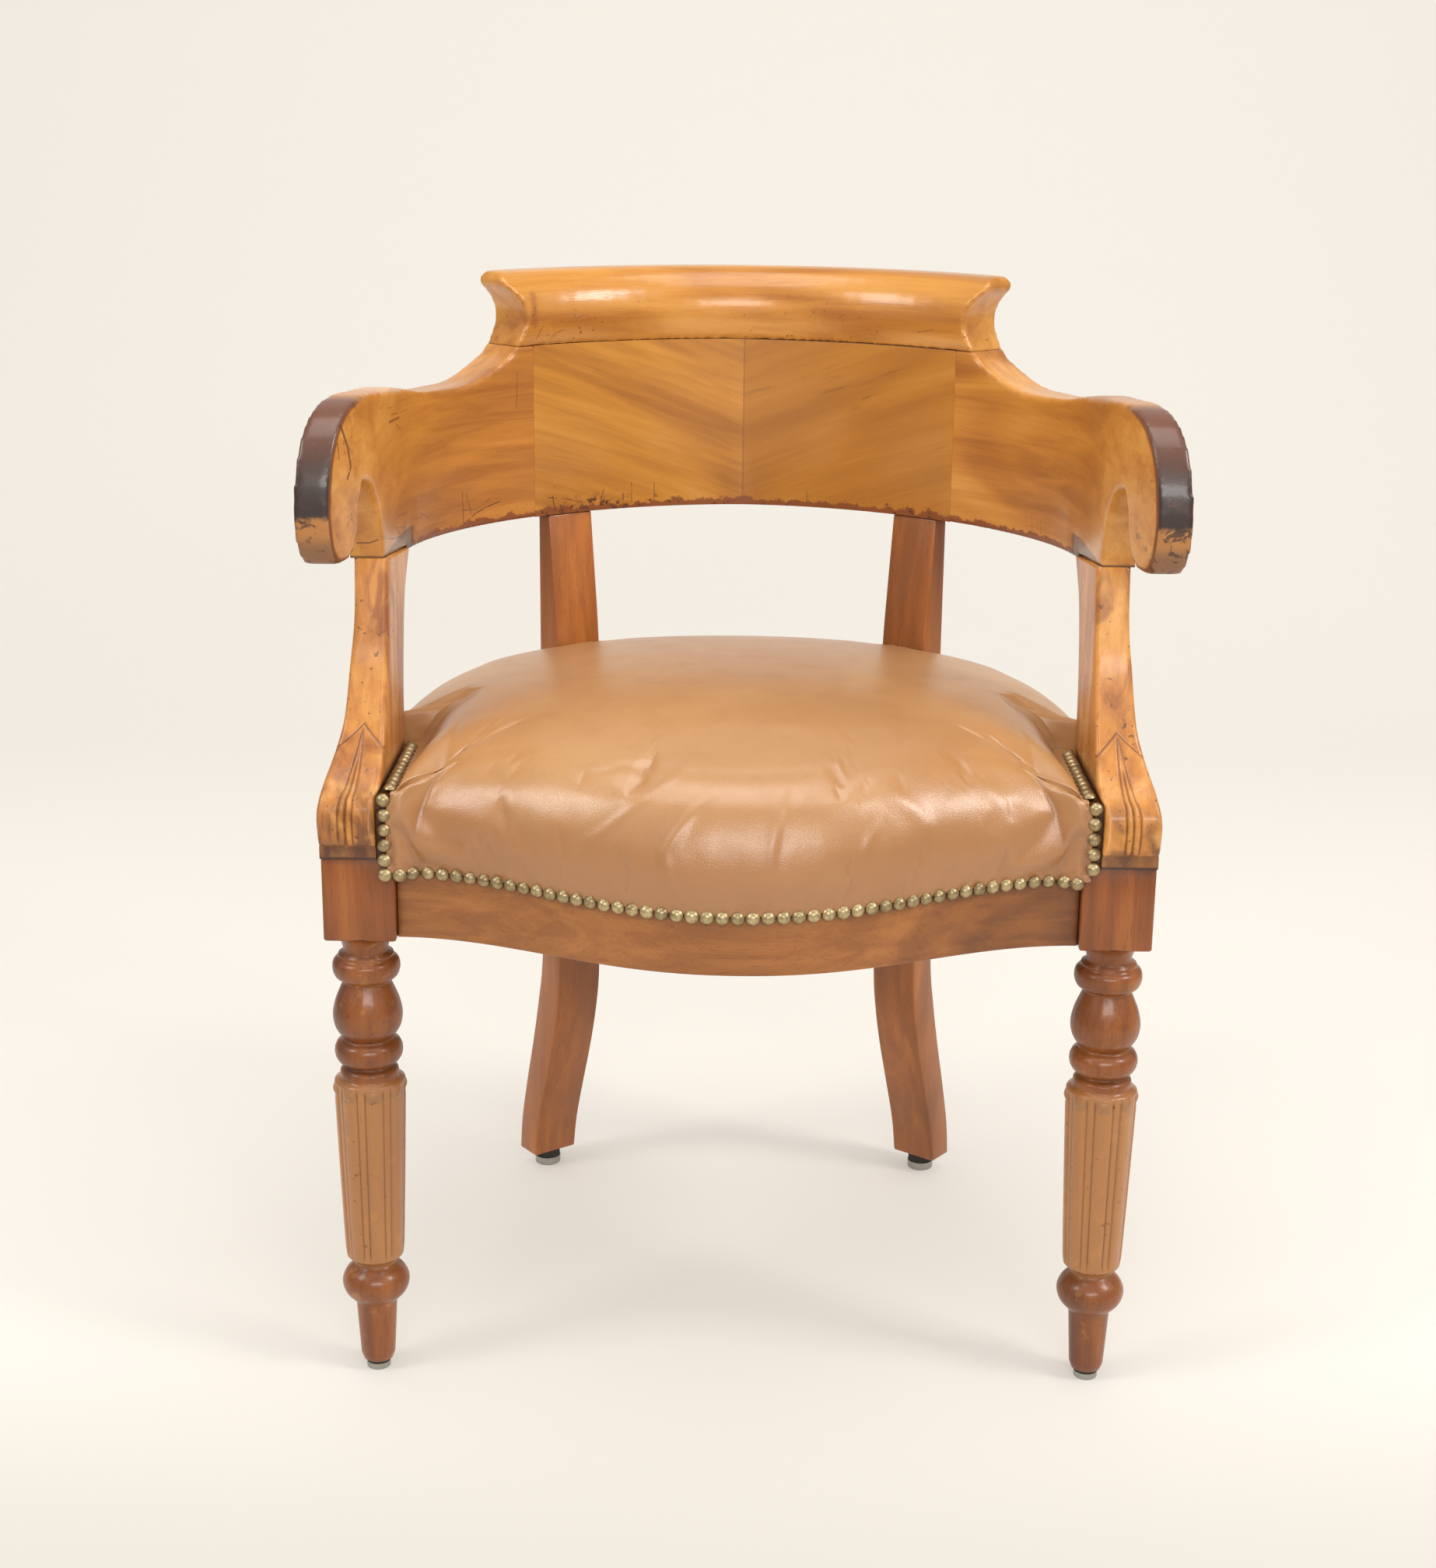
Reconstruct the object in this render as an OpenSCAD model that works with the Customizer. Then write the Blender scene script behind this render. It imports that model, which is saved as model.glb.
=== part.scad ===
// Gondola desk chair: a bow-fronted leather seat on a beech and walnut frame, with a
// yoke-shaped back whose ends roll over as arms. Millimetres, +Z up, front towards -Y.
// Plan sizes are measured from the line through the axes of the two front legs, and
// placed() then moves the chair so that its origin is the centre of its footprint.

/* [Front legs] */
// Distance between the axes of the front legs
leg_span = 524; // [500:1:560]
// Width of the square block at the top of a front leg
block_w = 50.5; // [46:0.5:56]
// Underside of the square block above the floor
block_z = 342; // [330:1:350]
// Depth of the eight grooves that part the reeds
groove_r = 1.6; // [1:0.1:2.2]

/* [Seat frame] */
// Top of the rails and leg blocks above the floor
rail_top = 403; // [395:1:412]
// Height of the rails
rail_h = 60; // [50:1:64]
// Thickness of the rails
rail_t = 25; // [20:0.5:28]
// Set-back of the front rail's ends behind the leg blocks
rail_set = 8; // [4:0.5:12]
// Bow of the serpentine front rail
rail_bow = 69; // [50:1:80]
// Length of the tenons
tenon_l = 18; // [12:1:20]
// Thickness of the tenons
tenon_t = 11; // [8:0.5:12]
// Clearance round tenons, dowels and screws
fit_gap = 0.15; // [0.05:0.05:0.3]

/* [Rear legs] */
// Distance of a rear leg's centre line from the chair's centre line
rear_x = 140; // [130:1:150]
// Distance of a rear leg's centre line behind the inner face of the back
post_set = 4.2; // [2:0.1:5]
// Turn of the rear legs about the vertical
rear_turn = 37; // [30:1:42]
// Width of a rear leg's broad face
rear_w = 41; // [34:0.5:46]

/* [Back and arms] */
// Top of the crest above the floor
crest_top = 777; // [770:1:790]
// Height of the crest above its joint with the back
crest_h = 57; // [54:0.5:60]
// Height of the back below that joint
back_h = 135; // [130:1:140]
// Distance of an arm's inner face inside the axis of its front leg
arm_set = 15; // [12:0.5:18]
// Depth of the rounded back inside, from where the arms run straight
yoke_b = 240; // [232:1:246]
// Place along the arms where the back starts to curve
yoke_y = 135; // [128:1:140]
// Thickness of the arms
arm_t = 23.5; // [20:0.5:27]
// Thickness of the back at its centre
back_t = 36; // [30:1:42]
// Thickness of the veneer on the back
veneer_t = 1.2; // [0.8:0.1:2]

/* [Arm supports] */
// Thickness of an arm support at its top
support_t = 24; // [20:0.5:27]
// Swell of the support's scroll beyond its top
support_swell = 19; // [12:0.5:22]
// Height of the tacking tongue beside the seat above the rails
tongue_h = 45.5; // [38:0.5:50]

/* [Seat] */
// Height of the seat's crown above the floor
crown_z = 501; // [495:1:515]
// Lower edge of the leather above the floor at the leg blocks
hem_z = 393; // [388:0.5:396]
// Drop of the leather's edge at the centre of the front
hem_drop = 7; // [0:0.5:10]
// Thickness of the leather
leather_t = 1.6; // [1:0.1:2]
// Clearance between the leather and what it covers
soft_gap = 0.5; // [0.4:0.05:0.6]
// Number of springs round the middle spring
spring_ring = 4; // [3:1:5]
// Diameter of the spring wire
wire_d = 3.6; // [3:0.1:4]
// Width of a webbing strap
web_w = 50; // [40:1:55]
// Thickness of a webbing strap
web_t = 1.5; // [1:0.1:2]

/* [Nails] */
// Diameter of a nail head
nail_d = 9.8; // [8:0.1:10]
// Height of a nail head
nail_h = 3.4; // [2.5:0.1:4]
// Spacing of the nails
nail_pitch = 10.2; // [10:0.1:13]

/* [Glides] */
// Diameter of the glides under the front legs
front_glide_d = 17.4; // [15:0.2:20]
// Diameter of the glides under the rear legs
rear_glide_d = 22; // [18:0.2:24]
// Height of a front glide with its washer
front_glide_h = 7.5; // [6:0.5:10]
// Height of a rear glide with its washer
rear_glide_h = 14; // [10:0.5:16]
// Thickness of a front glide's washer
washer_t = 2.5; // [2:0.1:3]

/* [Dowels and screws] */
// Diameter of the dowels
dowel_d = 10; // [8:0.5:12]
// Length of the dowels
dowel_l = 44; // [36:1:50]
// Diameter of the corner block screws
screw_d = 4; // [3.5:0.1:4.5]

/* [Hidden] */
$fn = 48;
far = 400;
steps = 24;

leg_x = leg_span / 2;
block_in = leg_x - block_w / 2;
block_out = leg_x + block_w / 2;
rail_low = rail_top - rail_h;
rail_y = rail_set - block_w / 2;
fit_d = dowel_d + 2 * fit_gap;
tenon_h = rail_h - 20;

// Centre line of the side and back rails: half an ellipse from the leg blocks.
frame_a = leg_x - 4.5;
frame_y = 50;

// Inside of the back and arms in plan: a superellipse that runs straight in front of
// yoke_y and flares out again at the scrolled ends. Its outside is an ellipse.
yoke_n = 1.8;
yoke_a = leg_x - arm_set;
outer_a = yoke_a + arm_t;
outer_b = yoke_b + back_t;
flare_y = 50;
flare = 20.4;
flare_l = 105;
arm_end = -60;
joint_x = 165;
joint_t = asin(pow(joint_x / yoke_a, yoke_n / 2));
waist_t = joint_t + 1.5;
crest_low = crest_top - crest_h;
yoke_low = crest_low - back_h;

// The rear legs stand under the back, and the rails run through them.
rear_y = yoke_y + yoke_b * pow(1 - pow(rear_x / yoke_a, yoke_n), 1 / yoke_n) + post_set;
frame_b = (rear_y - frame_y) / sqrt(1 - pow(rear_x / frame_a, 2));

// Rail tenons in a rear leg: how far they reach in, and their front and rear across
// the leg. Then the tenon at its top: half width, front, rear and height in the back.
post_reach = 12;
post_slot = [-7, 4];
top_tenon = [12, 2, 10.5, 24];
pin_d = 3;
pin_l = 12;

// The nails stand just outside the leather's edge, and their heads cover it.
nail_shank_d = 1.6;
cover_face = soft_gap + leather_t;
nail_lift = 0.5;
nail_edge = 1.2;

// Footprint: from the front of the nails to the back of the crest.
front_y = rail_y - rail_bow - cover_face - nail_lift - nail_h;
back_y = yoke_y + outer_b;
mid_y = (front_y + back_y) / 2;

// Arm support: its rear edge and joints.
support_in = yoke_a - 2.5;
base_in = block_in + 11.5;
tongue_in = block_in - 4;
tongue_top = rail_top + tongue_h;
tongue_front = -block_w / 2 + 1.5;
base_rear = 105;
stub_front = 38.5;
stub_rear = 147;
stub_z = yoke_low + 15;
stub_z_rear = yoke_low + 3;
top_dowel_y = (stub_front + stub_rear) / 2;

function lerp(a, b, t) = a + (b - a) * t;

// Point at share t of the smooth curve from p1 to p2, whose neighbours are p0 and p3.
function spline_point(p0, p1, p2, p3, t) =
  0.5 * (2 * p1 + (p2 - p0) * t + (2 * p0 - 5 * p1 + 4 * p2 - p3) * t * t
    + (3 * p1 - p0 - 3 * p2 + p3) * t * t * t);

// Smooth curve through hand-set points.
function smooth(p, n = 4) = [
  for (i = [0 : len(p) - 2], k = [0 : n - 1])
    spline_point(p[max(i - 1, 0)], p[i], p[i + 1], p[min(i + 2, len(p) - 1)], k / n),
  p[len(p) - 1]
];

function reversed(p) = [for (i = [len(p) - 1 : -1 : 0]) p[i]];

// Bead or hollow of a turned leg, from [radius, height] p to q, out by bulge.
function bead(p, q, bulge, n = 8) = [
  for (i = [0 : n])
    let(t = i / n)
      [lerp(p[0], q[0], t) + bulge * sin(180 * t), lerp(p[1], q[1], (1 - cos(180 * t)) / 2)]
];

// Face of the front rail in plan.
function rail_front_y(x) =
  rail_y - rail_bow * (0.5 + 0.5 * cos(180 * pow(min(abs(x) / block_in, 1), 1.1)));

// Direction along the rail's face at x, in degrees.
function rail_slope(x) = atan2(rail_front_y(x + 1) - rail_front_y(x - 1), 2);

// Point of the seat frame's ellipse, grown by g, at angle t from the rear.
function frame_point(t, g = 0) = [(frame_a + g) * sin(t), frame_y + (frame_b + g) * cos(t)];

// Inner face of the back at angle t from its centre, and its outward normal.
function yoke_point(t) =
  [yoke_a * pow(sin(t), 2 / yoke_n), yoke_y + yoke_b * pow(max(cos(t), 0), 2 / yoke_n)];
function yoke_normal(t) =
  let(
    v = [
      yoke_b * pow(max(cos(t), 0), 2 / yoke_n - 1) * sin(t),
      yoke_a * pow(sin(t), 2 / yoke_n - 1) * cos(t)
    ]
  ) v / norm(v);
function safe_normal(t) = t < 0.5 ? [0, 1] : t > 89.5 ? [1, 0] : yoke_normal(t);

// Distance from the inner face at angle t to the outer ellipse, along the normal.
function yoke_depth(t) =
  let(
    p = yoke_point(t) - [0, yoke_y],
    n = safe_normal(t),
    qa = pow(n[0] / outer_a, 2) + pow(n[1] / outer_b, 2),
    qb = 2 * (p[0] * n[0] / pow(outer_a, 2) + p[1] * n[1] / pow(outer_b, 2)),
    qc = pow(p[0] / outer_a, 2) + pow(p[1] / outer_b, 2) - 1
  ) (-qb + sqrt(qb * qb - 4 * qa * qc)) / (2 * qa);

// Inner face of an arm in front of the curved back.
function arm_x(y) = yoke_a + (y < flare_y ? flare * pow((flare_y - y) / flare_l, 1.5) : 0);

module placed(side = 1) {
  translate([0, -mid_y, 0])
    mirror([side < 0 ? 1 : 0, 0, 0])
      children();
}

// Extrudes a [y, z] outline along X, from x0 to x1.
module along_x(x0, x1) {
  translate([x0, 0, 0])
    rotate([90, 0, 90])
      linear_extrude(x1 - x0)
        children();
}

// Extrudes an [x, z] outline along Y, from y0 to y1.
module along_y(y0, y1) {
  translate([0, y1, 0])
    rotate([90, 0, 0])
      linear_extrude(y1 - y0)
        children();
}

module upright(z0, z1) {
  translate([0, 0, z0])
    linear_extrude(z1 - z0)
      children();
}

module box(low, high) {
  translate(low)
    cube(high - low);
}

// Square with rounded corners.
module soft_square(w, r) {
  square([w - 2 * r, w], center = true);
  square([w, w - 2 * r], center = true);
  for (x = [-1, 1], y = [-1, 1])
    translate([x * (w / 2 - r), y * (w / 2 - r)])
      circle(r);
}

// Tenons of the front and side rails at a front leg, and a tenon's hole, which is
// larger by grow all round.
module front_tenon(grow = 0) {
  y = rail_y + rail_t / 2;
  z = (rail_top + rail_low) / 2;
  box(
    [block_in - 6, y - tenon_t / 2 - grow, z - tenon_h / 2 - grow],
    [block_in + tenon_l + grow, y + tenon_t / 2 + grow, z + tenon_h / 2 + grow]
  );
}

module side_tenon(grow = 0) {
  z = (rail_top + rail_low) / 2;
  box(
    [frame_a - tenon_t / 2 - grow, block_w / 2 - tenon_l - grow, z - tenon_h / 2 - grow],
    [frame_a + tenon_t / 2 + grow, block_w / 2 + 6, z + tenon_h / 2 + grow]
  );
}

// Places children in a rear leg's own frame: X to the chair's middle along the broad
// face, Y to the rear across it.
module at_rear_leg() {
  translate([rear_x, rear_y, 0])
    rotate([0, 0, -rear_turn])
      mirror([1, 0, 0])
        children();
}

// Tenons of the side and back rails in a rear leg.
module rear_tenons(grow = 0) {
  z = (rail_top + rail_low) / 2;
  at_rear_leg()
    for (s = [-1, 1])
      mirror([s < 0 ? 1 : 0, 0, 0])
        box(
          [rear_w / 2 - post_reach - grow, post_slot[0] - grow, z - tenon_h / 2 - grow],
          [rear_w / 2 + 7, post_slot[1] + grow, z + tenon_h / 2 + grow]
        );
}

// Tenon at the top of a rear leg, in the underside of the back.
module post_tenon(grow = 0) {
  at_rear_leg()
    box(
      [-top_tenon[0] - grow, top_tenon[1] - grow, yoke_low - 5],
      [top_tenon[0] + grow, top_tenon[2] + grow, yoke_low + top_tenon[3] + grow]
    );
}

// Turned part of a front leg, as [radius, height] from the block down to the glide.
ankle_r = 12;
leg_profile = concat(
  bead([24.6, block_z], [15.8, block_z - 12.5], -2.6),
  [[15.8, block_z - 15], [19.4, block_z - 15.4], [19.4, block_z - 18.6]],
  bead([20.3, 323], [18, 306.8], 4.8),
  smooth([[16.6, 305.2], [19.4, 299], [22.9, 290], [24.7, 280], [23, 270.5], [17.6, 262.4]]),
  bead([18, 261.4], [17, 243], 6.8),
  [[16.4, 242.4], [16.6, 240.6]],
  bead([19.6, 239.4], [20.6, 232.8], 0.8, 4),
  smooth([[21.8, 232.2], [24.2, 229.6], [25, 225], [23.1, 162], [20.8, 98], [19.6, 92.6], [15.6, 88.6]]),
  [[14.8, 88], [14.8, 86]],
  smooth([[15.8, 85], [21.4, 79.6], [24.4, 72], [22.4, 63.6], [16.2, 56.4]]),
  [[14.9, 55.4], [13.6, 32], [ankle_r + 0.4, front_glide_h + 5], [ankle_r - 1.4, front_glide_h]]
);

module front_leg(side) {
  reed_top = 226;
  reed_low = 97;
  reed_r = [20.9, 25.1];
  color("#8f5a2e") placed(side)
    difference() {
      translate([leg_x, 0, 0])
        union() {
          rotate_extrude()
            polygon(concat([[0, block_z + 1]], [[20, block_z + 1]], leg_profile, [[0, front_glide_h]]));
          upright(block_z, rail_top)
            soft_square(block_w, 1.6);
        }
      for (i = [0 : 7])
        translate([leg_x, 0, 0])
          rotate([0, 0, 22.5 + 45 * i])
            translate([reed_r[0], 0, reed_low])
              rotate([0, atan2(reed_r[1] - reed_r[0], reed_top - reed_low), 0])
                cylinder(h = reed_top - reed_low, r = groove_r);
      front_tenon(fit_gap);
      side_tenon(fit_gap);
      translate([leg_x, 0, rail_top - dowel_l / 2 - 1])
        cylinder(h = dowel_l, d = fit_d);
      translate([leg_x, 0, -1])
        cylinder(h = front_glide_h + pin_l + 2.5, d = pin_d + 2 * fit_gap);
    }
}

// Side view of a rear leg, as [across, height] in the leg's own frame.
post_front = smooth([
  [-2.4, yoke_low], [-8.6, lerp(rail_top, yoke_low, 0.7)],
  [-13.8, lerp(rail_top, yoke_low, 0.39)], [-16, rail_top], [-16, 300],
  [-12.8, 200], [-8.7, 163], [0.3, 124], [12.5, 84], [24, 44], [29, rear_glide_h]
]);
post_back = smooth([
  [54, rear_glide_h], [50.8, 44], [41.6, 84], [31, 124], [22, 163], [15.4, 200],
  [13, 260], [13, rail_top], [13, yoke_low]
]);
foot_s = 41;
post_face = 16.5;

module rear_leg(side) {
  color("#a3683c") placed(side)
    difference() {
      union() {
        at_rear_leg()
          along_x(-rear_w / 2, rear_w / 2)
            polygon(concat(post_front, post_back));
        post_tenon();
      }
      rear_tenons(fit_gap);
      at_rear_leg()
        translate([0, foot_s, -1])
          cylinder(h = rear_glide_h + pin_l + 4, d = pin_d + 2 * fit_gap);
    }
}

module front_rail_plan() {
  xs = [for (i = [-steps : steps]) block_in * i / steps];
  polygon(concat(
    [for (x = xs) [x, rail_front_y(x)]],
    reversed([for (x = xs) [x, rail_front_y(x) + rail_t]])
  ));
}

module seat_rail_front() {
  color("#9a6233") placed()
    difference() {
      union() {
        upright(rail_low, rail_top)
          front_rail_plan();
        for (s = [0, 1])
          mirror([s, 0, 0])
            front_tenon();
      }
      both_sides()
        brace_screws(fit_gap);
    }
}

// Ring of the side and back rails between two angles from the rear.
module frame_ring(t0, t1, out = rail_t / 2, in = rail_t / 2) {
  ts = [for (i = [0 : steps]) lerp(t0, t1, i / steps)];
  polygon(concat(
    [for (t = ts) frame_point(t, out)],
    reversed([for (t = ts) frame_point(t, -in)])
  ));
}

module seat_rail_side(side) {
  color("#8a5a31") placed(side)
    difference() {
      union() {
        upright(rail_low, rail_top)
          difference() {
            frame_ring(18, 108);
            translate([0, -far + block_w / 2])
              square([far, far]);
            translate([rear_x, rear_y])
              rotate([0, 0, -rear_turn])
                translate([rear_w / 2 - far, -far / 2])
                  square([far, far]);
          }
        side_tenon();
        difference() {
          rear_tenons();
          at_rear_leg()
            box([-rear_w / 2 + post_reach + 0.5, -20, 0], [60, 20, rail_top]);
        }
      }
      brace_screws(fit_gap);
    }
}

module seat_rail_back() {
  color("#8a5a31") placed()
    difference() {
      union() {
        upright(rail_low, rail_top)
          difference() {
            union() {
              frame_ring(0, 34);
              mirror([1, 0])
                frame_ring(0, 34);
            }
            for (s = [0, 1])
              mirror([s, 0])
                translate([rear_x, rear_y])
                  rotate([0, 0, -rear_turn])
                    translate([-rear_w / 2, -far / 2])
                      square([far, far]);
          }
        for (s = [0, 1])
          mirror([s, 0, 0])
            difference() {
              rear_tenons();
              at_rear_leg()
                box([-60, -20, 0], [rear_w / 2 - post_reach - 0.5, 20, rail_top]);
            }
      }
      both_sides()
        brace_screws(fit_gap);
    }
}

// Corner braces: a front one fills the corner behind a leg block, and a rear one
// stands in front of a rear leg. Each has one screw into either rail.
brace_h = 34;
brace_z = (rail_top + rail_low) / 2;
brace_from = [block_in - 52, 8];
brace_to = [block_in + 2, 86];
brace_rear = [rear_w / 2 + 26, 40];
screw_l = 34;
head_d = 2 * screw_d;
head_h = 2.6;

function brace_edge_x(y) =
  lerp(brace_from[0], brace_to[0], (y - brace_from[1]) / (brace_to[1] - brace_from[1]));
function brace_edge_y(x) =
  lerp(brace_from[1], brace_to[1], (x - brace_from[0]) / (brace_to[0] - brace_from[0]));

module front_brace_plan() {
  difference() {
    polygon([
      brace_from + [-4, -60], brace_from, brace_to, brace_to + [40, 10], brace_to + [40, -150]
    ]);
    polygon([
      for (i = [-steps : steps]) [block_in * i / steps, rail_front_y(block_in * i / steps) + rail_t],
      [block_in, -far], [-block_in, -far]
    ]);
    translate([block_in, -far])
      square([block_w, far + block_w / 2]);
    frame_ring(18, 108, 80);
  }
}

module rear_brace_plan() {
  difference() {
    translate([rear_x, rear_y])
      rotate([0, 0, -rear_turn])
        difference() {
          translate([-brace_rear[0], -brace_rear[1]])
            square([2 * brace_rear[0], brace_rear[1]]);
          translate([-rear_w / 2, -post_face])
            square([rear_w, 2 * post_face]);
        }
    frame_ring(18, 108, 80);
    frame_ring(0, 34, 80);
  }
}

// Screw along +Z, its head's top at the origin, grown all round.
module screw(grow) {
  translate([0, 0, -grow])
    cylinder(h = screw_l + 2 * grow, d = screw_d + 2 * grow);
  translate([0, 0, grow > 0 ? -20 : 0])
    cylinder(h = head_h + (grow > 0 ? 20 + grow : 0), d = head_d + 2 * grow);
}

// Screws of the braces on the right-hand side.
module brace_screws(grow = 0) {
  x = brace_from[0] + 10;
  y = brace_to[1] - 22;
  translate([x, brace_edge_y(x) - 4, brace_z])
    rotate([90, 0, 0])
      screw(grow);
  translate([brace_edge_x(y) + 4, y, brace_z])
    rotate([0, 90, 0])
      screw(grow);
  translate([rear_x, rear_y, 0])
    rotate([0, 0, -rear_turn])
      for (s = [-1, 1])
        translate([s * (rear_w / 2 + 14), -brace_rear[1] + 1, brace_z])
          rotate([-90, 0, 0])
            screw(grow);
}

module both_sides() {
  for (s = [0, 1])
    mirror([s, 0, 0])
      children();
}

module corner_blocks() {
  color("#c49a63") placed()
    both_sides()
      difference() {
        upright(brace_z - brace_h / 2, brace_z + brace_h / 2) {
          front_brace_plan();
          rear_brace_plan();
        }
        brace_screws(fit_gap);
      }
}

module corner_block_screws() {
  color("#8d8a84") placed()
    both_sides()
      brace_screws();
}

// Arm support: outline from the side as [y, z], and from the front as [x, z]. Heights
// of the stem are shares of the way from the rails to the arm.
function stem(points) = [for (p = points) [p[0], lerp(rail_top, stub_z, p[1])]];
support_front = smooth(stem([
  [stub_front, 1], [31, 0.822], [24, 0.67], [13, 0.518], [3, 0.411], [-11, 0.315],
  [-24, 0.249], [-31, 0.198], [-33, 0.137], [-32, 0.081], [-29, 0.066]
]));
support_rear = smooth(concat(
  stem([[base_rear, 0.081], [base_rear, 0.147], [101, 0.239], [98, 0.381], [104, 0.594], [120, 0.807]]),
  [[stub_rear, stub_z_rear]]
));
fillet_z = rail_top + 9;
support_side = concat(
  reversed(support_rear),
  [[base_rear, rail_top], [-27.5, rail_top], [-27.5, fillet_z]],
  reversed(support_front)
);
swell_x = support_in + support_t;
support_outer = smooth(stem([
  [swell_x, 1.01], [swell_x, 0.797], [swell_x + 2.5, 0.64], [swell_x + 5.5, 0.457],
  [swell_x + 10, 0.36], [swell_x + 17, 0.249], [swell_x + support_swell + 1, 0.168],
  [swell_x + support_swell, 0.056]
]));
support_face = concat(
  support_outer,
  [
    [block_out, fillet_z], [block_out, rail_top], [base_in, rail_top],
    [base_in, tongue_top - 3], [support_in + 1, tongue_top + 2],
    [support_in, tongue_top + 14], [support_in, stub_z + 2]
  ]
);

module arm_support(side) {
  color("#b9702f") placed(side)
    difference() {
      union() {
        intersection() {
          along_x(min(support_in, base_in) - 2, block_out + 20)
            polygon(support_side);
          along_y(-60, 160)
            polygon(support_face);
        }
        upright(rail_top, tongue_top)
          polygon([
            [tongue_in, tongue_front + 6], [tongue_in + 6, tongue_front], [base_in + 1, tongue_front],
            [base_in + 1, base_rear], [tongue_in, base_rear]
          ]);
      }
      support_pegs(fit_gap);
    }
}

// Dowels at the foot and head of an arm support.
module support_pegs(grow = 0) {
  translate([leg_x, 0, rail_top - dowel_l / 2 + 2 - grow])
    cylinder(h = dowel_l - 4 + 2 * grow, d = dowel_d + 2 * grow);
  for (y = [-16, 16])
    translate([support_in + support_t / 2, top_dowel_y + y, (stub_z + stub_z_rear) / 2 - dowel_l / 2 - grow])
      cylinder(h = dowel_l + 2 * grow, d = dowel_d - 2 + 2 * grow);
}

module support_dowels() {
  color("#d8b88a") placed()
    for (s = [0, 1])
      mirror([s, 0, 0])
        support_pegs();
}

// Plan of one half of the back and its arm, from inner offset cut to the outside.
module yoke_plan(cut = 0) {
  ts = [for (i = [0 : steps]) 90 * i / steps];
  ys = [for (i = [0 : steps]) lerp(yoke_y, arm_end, i / steps)];
  polygon(concat(
    [for (t = ts) yoke_point(t) + cut * safe_normal(t)],
    [for (y = ys) [arm_x(y) + cut, y]],
    reversed([for (y = ys) [arm_x(y) + arm_t, y]]),
    reversed([for (t = ts) [outer_a * sin(t), yoke_y + outer_b * cos(t)]])
  ));
}

// Half plane on the rear side of the joint between the back and an arm.
module behind_joint() {
  n = yoke_normal(joint_t);
  translate(yoke_point(joint_t))
    rotate([0, 0, atan2(n[1], n[0]) - 90])
      translate([-far, -far])
        square([far, 2 * far]);
}

module back_half_plan(cut) {
  intersection() {
    yoke_plan(cut);
    behind_joint();
  }
}

// Places a child outline, drawn as [along the back, height], at the crest's waist and
// extrudes it through the back's thickness.
module at_waist() {
  n = yoke_normal(waist_t);
  translate(concat(yoke_point(waist_t), 0))
    rotate([0, 0, atan2(n[1], n[0]) - 90])
      rotate([90, 0, 0])
        linear_extrude(2 * far, center = true)
          children();
}

// End of the crest and top of the arm beside it, as [along the back, height].
arm_drop = 25.5;
cove = smooth([
  [9, crest_low], [4, crest_low + 9], [0.5, crest_low + 18], [0.5, crest_low + 26],
  [4, crest_low + 34], [9, crest_low + 40.5], [14.5, crest_low + 45]
]);
ear = smooth([[14.5, crest_low + 45], [16.6, crest_low + 49], [15, crest_low + 54], [9, crest_top + 1]]);
arm_sweep = smooth([
  [9, crest_low], [17.5, crest_low - 7], [30, crest_low - 13.5], [48, crest_low - 21],
  [66, crest_low - 25], [95, crest_low - arm_drop]
]);

// Rolled end of an arm from the side, as [y, depth under the joint of the crest], from
// the top round to the stub.
arm_rear = 262;
function under_joint(points) = [for (p = points) [p[0], crest_low - p[1]]];
arm_top = under_joint(smooth([
  [arm_rear, arm_drop], [235, arm_drop], [195, 23.5], [165, 18.5], [110, 11], [55, 6.4]
]));
scroll = under_joint(smooth([
  [55, 6.4], [23, 4.2], [0, 4.4], [-20, 8.6], [-36, 18], [-48, 34], [-55, 56], [-57, 78],
  [-53.5, 98], [-46, 107.6], [-36, 109.4], [-24, 106.6], [-14, 98], [-9, 86], [-5.5, 72]
]));
notch = under_joint(smooth([
  [-5.5, 72], [-1, 63], [8, 62.4], [18, 67.4], [28, 80], [35, 93], [stub_front, 108]
]));
arm_side = concat(
  arm_top, scroll, notch,
  [
    [stub_front, stub_z], [stub_rear, stub_z_rear], [stub_rear + 9, yoke_low],
    [arm_rear, yoke_low]
  ]
);

module arm(side) {
  color("#c8872f") placed(side)
    difference() {
      intersection() {
        upright(yoke_low, crest_low)
          difference() {
            yoke_plan();
            behind_joint();
          }
        union() {
          along_x(0, far)
            polygon(arm_side);
          at_waist()
            polygon(concat([[-40, yoke_low], [-40, crest_low]], arm_sweep, [[95, yoke_low]]));
        }
      }
      arm_pegs(fit_gap);
      support_pegs(fit_gap);
    }
}

// Dowels across the joint between the back and an arm.
module arm_pegs(grow = 0) {
  n = yoke_normal(joint_t);
  middle = yoke_point(joint_t) + n * yoke_depth(joint_t) / 2;
  for (z = [yoke_low + 40, yoke_low + 95])
    translate([middle[0], middle[1], z])
      rotate([0, 0, atan2(n[1], n[0]) - 90])
        rotate([0, 90, 0])
          cylinder(h = dowel_l + 2 * grow, d = dowel_d + 2 * grow, center = true);
}

module arm_dowels() {
  color("#d8b88a") placed()
    for (s = [0, 1])
      mirror([s, 0, 0])
        arm_pegs();
}

module back_rail() {
  color("#c8872f") placed()
    difference() {
      for (s = [0, 1])
        mirror([s, 0, 0])
          upright(yoke_low, crest_low)
            back_half_plan(veneer_t);
      for (s = [0, 1])
        mirror([s, 0, 0]) {
          post_tenon(fit_gap);
          arm_pegs(fit_gap);
        }
      crest_pegs(fit_gap);
    }
}

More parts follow.
